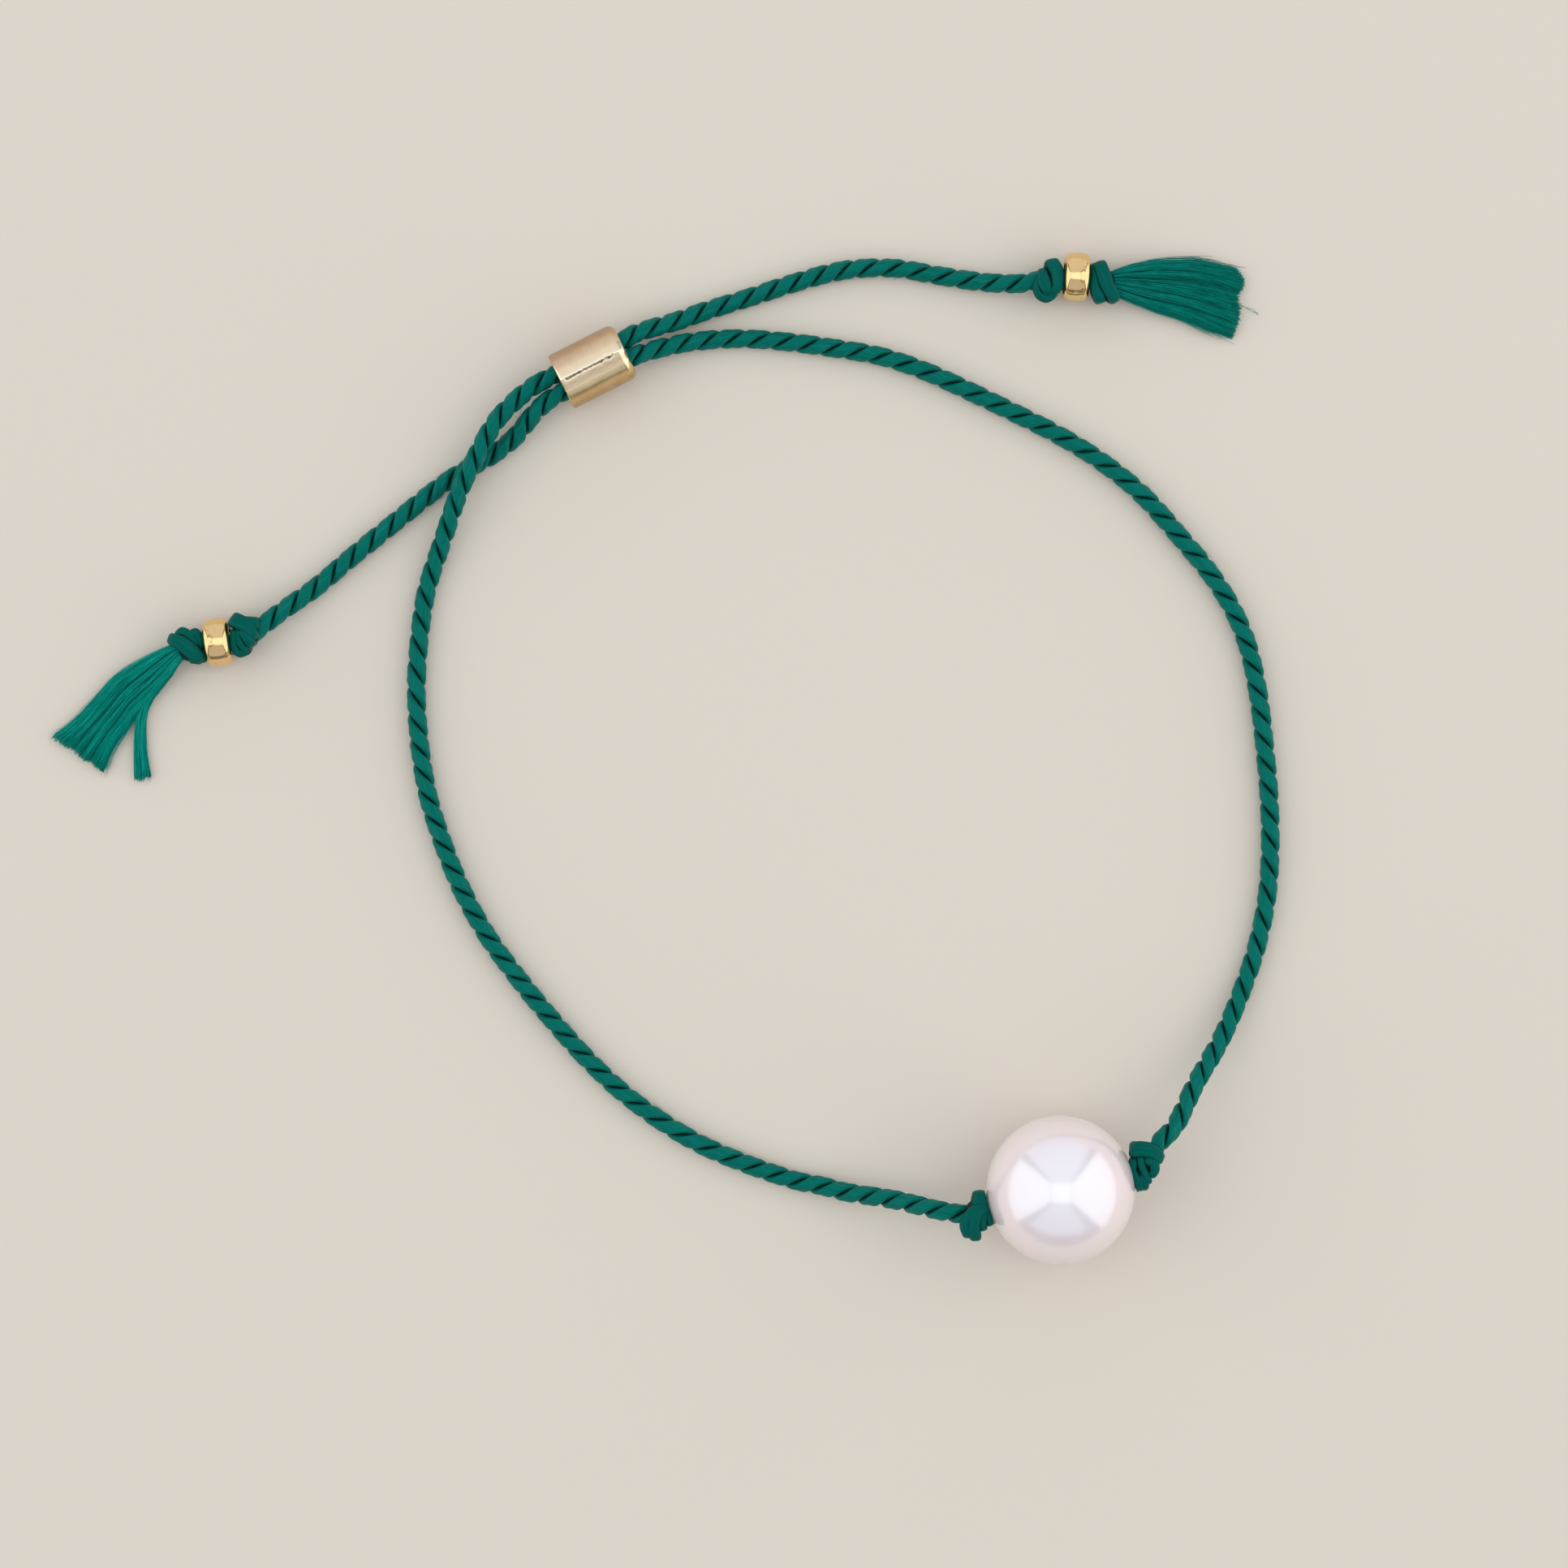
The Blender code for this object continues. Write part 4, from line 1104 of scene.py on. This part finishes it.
# Rows along a tassel's thread, corners round it, and the range of tones from thread to thread
FIBRE_ROWS = 14
THREAD_SIDES = 3
FIBRE_TONES = 60
# How the threads gather into locks: how firmly, how unevenly the locks are spaced and how they drift
GATHER = 0.5
LOCK_SHIFT = 0.4
LOCK_DRIFT = 0.352
# How far a thread waves at its end: forward, sideways and up
THREAD_WAVE = np.array((0.00004, 0.00006, 0.00004))
STRAY_THREADS = 70
STRAY_RADIUS = 0.000011
STRAY_WAVE = 0.00009
# Three loose threads at the right tassel's end: their points, how each point sways and how far
TUFT = [
    (0.0310, 0.0328, 0.0003), (0.0315, 0.03255, 0.0005), (0.0320, 0.0323, 0.0006),
    (0.0324, 0.0321, 0.0004),
]
TUFT_SWAY = (1, 0, 1, -1)
TUFT_BENDS = (0.0, 0.00012, -0.0001)
TUFT_RADIUS = 0.000016
# Each tassel: its fan, how far its threads reach, and the seed of its unevenness
TASSELS = {"left": (FAN_LEFT, TIPS_LEFT, 5), "right": (FAN_RIGHT, TIPS_RIGHT, 9)}


def fan_rows(table, size):
    """Smooth sections of a fan in metres, evenly spaced: both edges, middle height, half thickness."""
    length, width, height = size
    rows = smooth_curve(np.array(table) * (length, width, length, width, height, height), 8)
    along = measured((rows[:, :2] + rows[:, 2:4]) / 2)
    return read_at(rows, along, np.linspace(0, along[-1], FIBRE_ROWS))


def on_fan(rows, place, rise, wave, lowest):
    """Points on a fan. place is 0 at its first edge and 1 at the other, and rise is from -1 to 1."""
    # A fan thins towards its edges
    edge = np.sqrt(np.clip(1 - (2 * np.clip(place, 0, 1) - 1) ** 4, 0.05, 1))
    forward = rows[:, 0] + (rows[:, 2] - rows[:, 0]) * place + wave[0]
    sideways = rows[:, 1] + (rows[:, 3] - rows[:, 1]) * place + wave[1]
    height = rows[:, 4] + rise * rows[:, 5] * edge + wave[2]
    return np.stack([forward, sideways, np.maximum(height, lowest)], axis=1)


def fibre_bundle(shape, rng, rows, fibres, radius, foot, angle, locks, tips):
    """Threads that fill a fan, gathered into locks between its root and its cut end."""
    share = np.linspace(0, 1, FIBRE_ROWS)
    gather = GATHER * np.sin(np.pi * np.clip(share * 0.85 + 0.05, 0, 1)) ** 1.2
    centres = (np.arange(locks) + 0.5) / locks + rng.uniform(-LOCK_SHIFT, LOCK_SHIFT, locks) / locks
    firm = rng.uniform(0.25, 1.0, locks)
    drift = np.cumsum(rng.normal(size=(locks, FIBRE_ROWS)), axis=1)
    drift *= LOCK_DRIFT / locks / math.sqrt(FIBRE_ROWS)
    for k in range(fibres):
        spread = rng.uniform(0.0, 1.0)
        lock = int(np.argmin(np.abs(centres - spread)))
        level = rng.uniform(-1, 1)
        # Low threads stay spread out and close the gaps under the locks
        loose = 0.25 if level < -0.2 else 1.0
        stray = rng.normal() * 0.025
        goal = centres[lock] + drift[lock] + (spread - centres[lock]) * 0.45
        place = spread + (goal - spread) * gather * loose * firm[lock] + stray * share
        place = place + rng.normal() * 0.02 * np.sin(np.pi * share)
        place = np.clip(place, 0.0, 1.0)
        # Each lock is round on top, and between two of them lies a groove
        from_lock = (place - centres[lock] - drift[lock]) * locks
        hump = np.sqrt(np.clip(1 - (from_lock * 1.4) ** 2, 0.05, 1))
        raised = level * hump if level > 0 else np.full(FIBRE_ROWS, level)
        wave = wander(rng, 3, FIBRE_ROWS, spacing=4) * THREAD_WAVE[:, None] * share
        line = on_fan(rows, place, raised, wave, radius)
        reach = np.interp(place[-1], np.linspace(0, 1, len(tips)), tips) + rng.normal() * 0.011
        line = placed(line_to(line, reach), foot, angle)
        thick = radius * rng.uniform(0.75, 1.25)
        radii = np.linspace(thick, thick * 0.8, FIBRE_ROWS)
        rings = tube_rings(line, radii, THREAD_SIDES, rng.uniform(0, 2))
        grain = grain_of(rings, share * 0.01, rng.uniform(0, FIBRE_TONES), k)
        # Painted shade: low threads and threads in the grooves between locks are darkened, with a little
        # random tone
        groove = np.clip(0.5 - hump, 0, 0.5) * 2
        shade_and_tone = 0.84 + 0.16 * raised - 0.4 * firm[lock] * groove + 0.07 * rng.normal()
        shade_and_tone = np.clip(shade_and_tone, 0.12, 1)
        shape.add(rings, grain, np.broadcast_to(shade_and_tone[:, None], rings.shape[:2]))


def line_to(line, reach):
    """A row of points cut short or drawn out to a share of its length."""
    longer = np.vstack([line, line[-1] * 2 - line[-2]])
    return read_at(longer, measured(longer), np.linspace(0, measured(line)[-1] * reach, len(line)))


def stray_threads(shape, rng, rows, foot, angle):
    """Single fine threads that stand off the edges and the top of a tassel."""
    share = np.linspace(0, 1, FIBRE_ROWS)
    for _ in range(STRAY_THREADS):
        edge = rng.choice((0.0, 1.0)) if rng.uniform() < 0.6 else rng.uniform()
        away = (edge - 0.5) * rng.uniform(0.0, 0.16) * share ** 1.5
        place = np.clip(edge + rng.normal() * 0.03, -0.02, 1.02) + away
        wave = wander(rng, 3, FIBRE_ROWS, spacing=3) * STRAY_WAVE * share
        line = on_fan(rows, place, rng.uniform(-0.6, 1.15), wave, FLOOR_GAP)
        start = rng.uniform(0, 0.5) * measured(line)[-1]
        line = line_to(line, rng.uniform(0.7, 1.05))
        line = placed(line[measured(line) >= start], foot, angle)
        if len(line) >= 4:
            hair(shape, rng, line, STRAY_RADIUS, np.linspace(0, 0.01, len(line)))


def build_tassel(side, tassel, material):
    """The frayed end of a tail, on the plan of its fan."""
    table, tips, seed = TASSELS[side]
    knot = middle("knot_" + side + "_outer")
    foot = np.array((knot[0], knot[1], 0.0))
    size = getattr(tassel, "length_" + side), getattr(tassel, "width_" + side), tassel.height
    angle = getattr(tassel, "angle_" + side)
    rng = np.random.default_rng(seed)
    shape = Shape()
    rows = fan_rows(table, size)
    fibre_bundle(shape, rng, rows, tassel.fibres, tassel.fibre_radius, foot, angle, 8, tips)
    if side == "left":
        fibre_bundle(shape, rng, fan_rows(FAN_STRAYED, size), tassel.fibres // 6, tassel.fibre_radius,
                     foot, angle, 2, TIPS_STRAYED)
    stray_threads(shape, rng, rows, foot, angle)
    if side == "right":
        for bend in TUFT_BENDS:
            tuft = np.array(TUFT) + np.outer(TUFT_SWAY, (0.0, bend, 0.0)) + plan_shift()
            curved_hair(shape, rng, tuft, TUFT_RADIUS)
    shape.build("tassel_" + side + "_threads", material, "tassel_" + side)


# Operators


class BRACELET_OT_stage(bpy.types.Operator):
    """Adds the plain floor, the soft lights and the camera above the bracelet."""

    bl_idname = "bracelet.stage"
    bl_label = "Floor, lights and camera"

    def execute(self, context):
        settings = context.scene.bracelet_stage
        shift = plan_shift()
        mesh = bpy.data.meshes.new("floor")
        corners = [(x * FLOOR_HALF, y * FLOOR_HALF, 0) for x, y in ((-1, -1), (1, -1), (1, 1), (-1, 1))]
        mesh.from_pydata(corners, [], [(0, 1, 2, 3)])
        mesh.materials.append(floor_material(settings.floor_colour))
        floor = bpy.data.objects.new("floor", mesh)
        context.scene.collection.objects.link(floor)

        camera = bpy.data.cameras.new("camera")
        camera.lens = settings.lens
        camera.sensor_width = 36.0
        camera.clip_start = 0.01
        view = bpy.data.objects.new("camera", camera)
        view.location = (shift[0], shift[1], settings.camera_height)
        context.scene.collection.objects.link(view)
        context.scene.camera = view

        middle_of_tent = Vector((shift[0] + TENT_SHIFT, shift[1], 0.0))
        tent = settings.tent
        for name, way, low, high, wide, brightness, colour in LIGHTS:
            light = bpy.data.lights.new(name, "AREA")
            light.shape = "RECTANGLE"
            light.size = wide * tent
            light.size_y = (high - low) * tent if any(way) else wide * tent
            light.energy = brightness * math.pi * light.size * light.size_y
            light.color = colour
            lamp = bpy.data.objects.new(name, light)
            rise = (low + high) / 2
            lamp.location = middle_of_tent + Vector((way[0], way[1], rise)) * tent
            aim = Vector((-way[0], -way[1], 0.0)) if any(way) else Vector((0.0, 0.0, -1.0))
            lamp.rotation_euler = aim.to_track_quat("-Z", "Y").to_euler()
            lamp.visible_camera = False
            context.scene.collection.objects.link(lamp)

        world = bpy.data.worlds.new("soft room")
        world.use_nodes = True
        room = world.node_tree.nodes["Background"]
        room.inputs["Color"].default_value = WORLD_COLOUR
        room.inputs["Strength"].default_value = WORLD_BRIGHTNESS
        context.scene.world = world
        context.scene.view_settings.view_transform = "Standard"
        context.scene.view_settings.look = "None"
        return {"FINISHED"}


class BRACELET_OT_cords(bpy.types.Operator):
    """Lays the two twisted silk cords along their routes."""

    bl_idname = "bracelet.cords"
    bl_label = "Twisted cords"

    def execute(self, context):
        settings = context.scene.bracelet_silk
        material = silk_material("silk_cord", settings)
        for node in CORDS:
            twisted_cord(node, settings, material)
        for node in ("cord_in_pearl", "cord_in_ring_left", "cord_in_ring_right"):
            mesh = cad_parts[node].data
            mesh.materials.clear()
            mesh.materials.append(material)
        return {"FINISHED"}


class BRACELET_OT_knots(bpy.types.Operator):
    """Wraps the six tight knots beside the pearl and the ring beads."""

    bl_idname = "bracelet.knots"
    bl_label = "Knots"

    def execute(self, context):
        settings = context.scene.bracelet_silk
        material = silk_material("silk_knot", settings, light=KNOT_PAINTED_SHADE)
        for seed, node in enumerate(KNOTS, 20):
            build_knot(node, settings, material, seed)
        return {"FINISHED"}


class BRACELET_OT_pearl(bpy.types.Operator):
    """Dresses the drilled pearl in nacre."""

    bl_idname = "bracelet.pearl"
    bl_label = "Pearl"

    def execute(self, context):
        settings = context.scene.bracelet_beads
        build_pearl(settings, nacre_material(settings))
        return {"FINISHED"}


class BRACELET_OT_metal(bpy.types.Operator):
    """Makes the worn sliding tube and the polished ring beads."""

    bl_idname = "bracelet.metal"
    bl_label = "Tube and ring beads"

    def execute(self, context):
        settings = context.scene.bracelet_beads
        # The tube's gold carries bands of painted highlight and shade
        worn = gold_material("gold_worn", tuple(settings.tube_colour), 0.2, 1.0, TUBE_LIGHT_AND_WEAR)
        build_tube(settings, worn)
        polished = gold_material("gold_polished", tuple(settings.ring_colour), 0.13, 0.25)
        for seed, node in enumerate(RINGS, 41):
            build_ring(node, settings, polished, seed)
        return {"FINISHED"}


class BRACELET_OT_tassels(bpy.types.Operator):
    """Combs out the frayed tassels at the ends of the tails."""

    bl_idname = "bracelet.tassels"
    bl_label = "Tassels"

    def execute(self, context):
        silk = context.scene.bracelet_silk
        for side, light in THREAD_PAINTED_LIGHT.items():
            material = silk_material("silk_thread_" + side, silk, THREAD_GROOVE_SHADE, light)
            build_tassel(side, context.scene.bracelet_tassels, material)
        return {"FINISHED"}


class BRACELET_PT_panel(bpy.types.Panel):
    """Lists the steps that dress the bracelet, and their sizes and colours."""

    bl_idname = "BRACELET_PT_panel"
    bl_label = "Pearl bracelet"
    bl_space_type = "VIEW_3D"
    bl_region_type = "UI"
    bl_category = "Bracelet"

    def draw(self, context):
        layout = self.layout
        for group, operators in STEPS:
            box = layout.box()
            for operator in operators:
                box.operator(operator.bl_idname)
            settings = getattr(context.scene, group)
            for name in settings.bl_rna.properties.keys():
                if name not in {"rna_type", "name"}:
                    box.prop(settings, name)


SETTINGS = {
    "bracelet_stage": StageSettings,
    "bracelet_silk": SilkSettings,
    "bracelet_beads": BeadSettings,
    "bracelet_tassels": TasselSettings,
}
STEPS = [
    ("bracelet_stage", [BRACELET_OT_stage]),
    ("bracelet_silk", [BRACELET_OT_cords, BRACELET_OT_knots]),
    ("bracelet_beads", [BRACELET_OT_pearl, BRACELET_OT_metal]),
    ("bracelet_tassels", [BRACELET_OT_tassels]),
]


def register():
    for name, group in SETTINGS.items():
        bpy.utils.register_class(group)
        setattr(bpy.types.Scene, name, PointerProperty(type=group))
    for _, operators in STEPS:
        for operator in operators:
            bpy.utils.register_class(operator)
    bpy.utils.register_class(BRACELET_PT_panel)


def unregister():
    bpy.utils.unregister_class(BRACELET_PT_panel)
    for _, operators in reversed(STEPS):
        for operator in reversed(operators):
            bpy.utils.unregister_class(operator)
    for name, group in reversed(SETTINGS.items()):
        delattr(bpy.types.Scene, name)
        bpy.utils.unregister_class(group)


def main():
    register()
    bpy.ops.bracelet.stage()
    bpy.ops.bracelet.cords()
    bpy.ops.bracelet.knots()
    bpy.ops.bracelet.pearl()
    bpy.ops.bracelet.metal()
    bpy.ops.bracelet.tassels()
    bpy.context.view_layer.update()


if __name__ == "__main__":
    main()
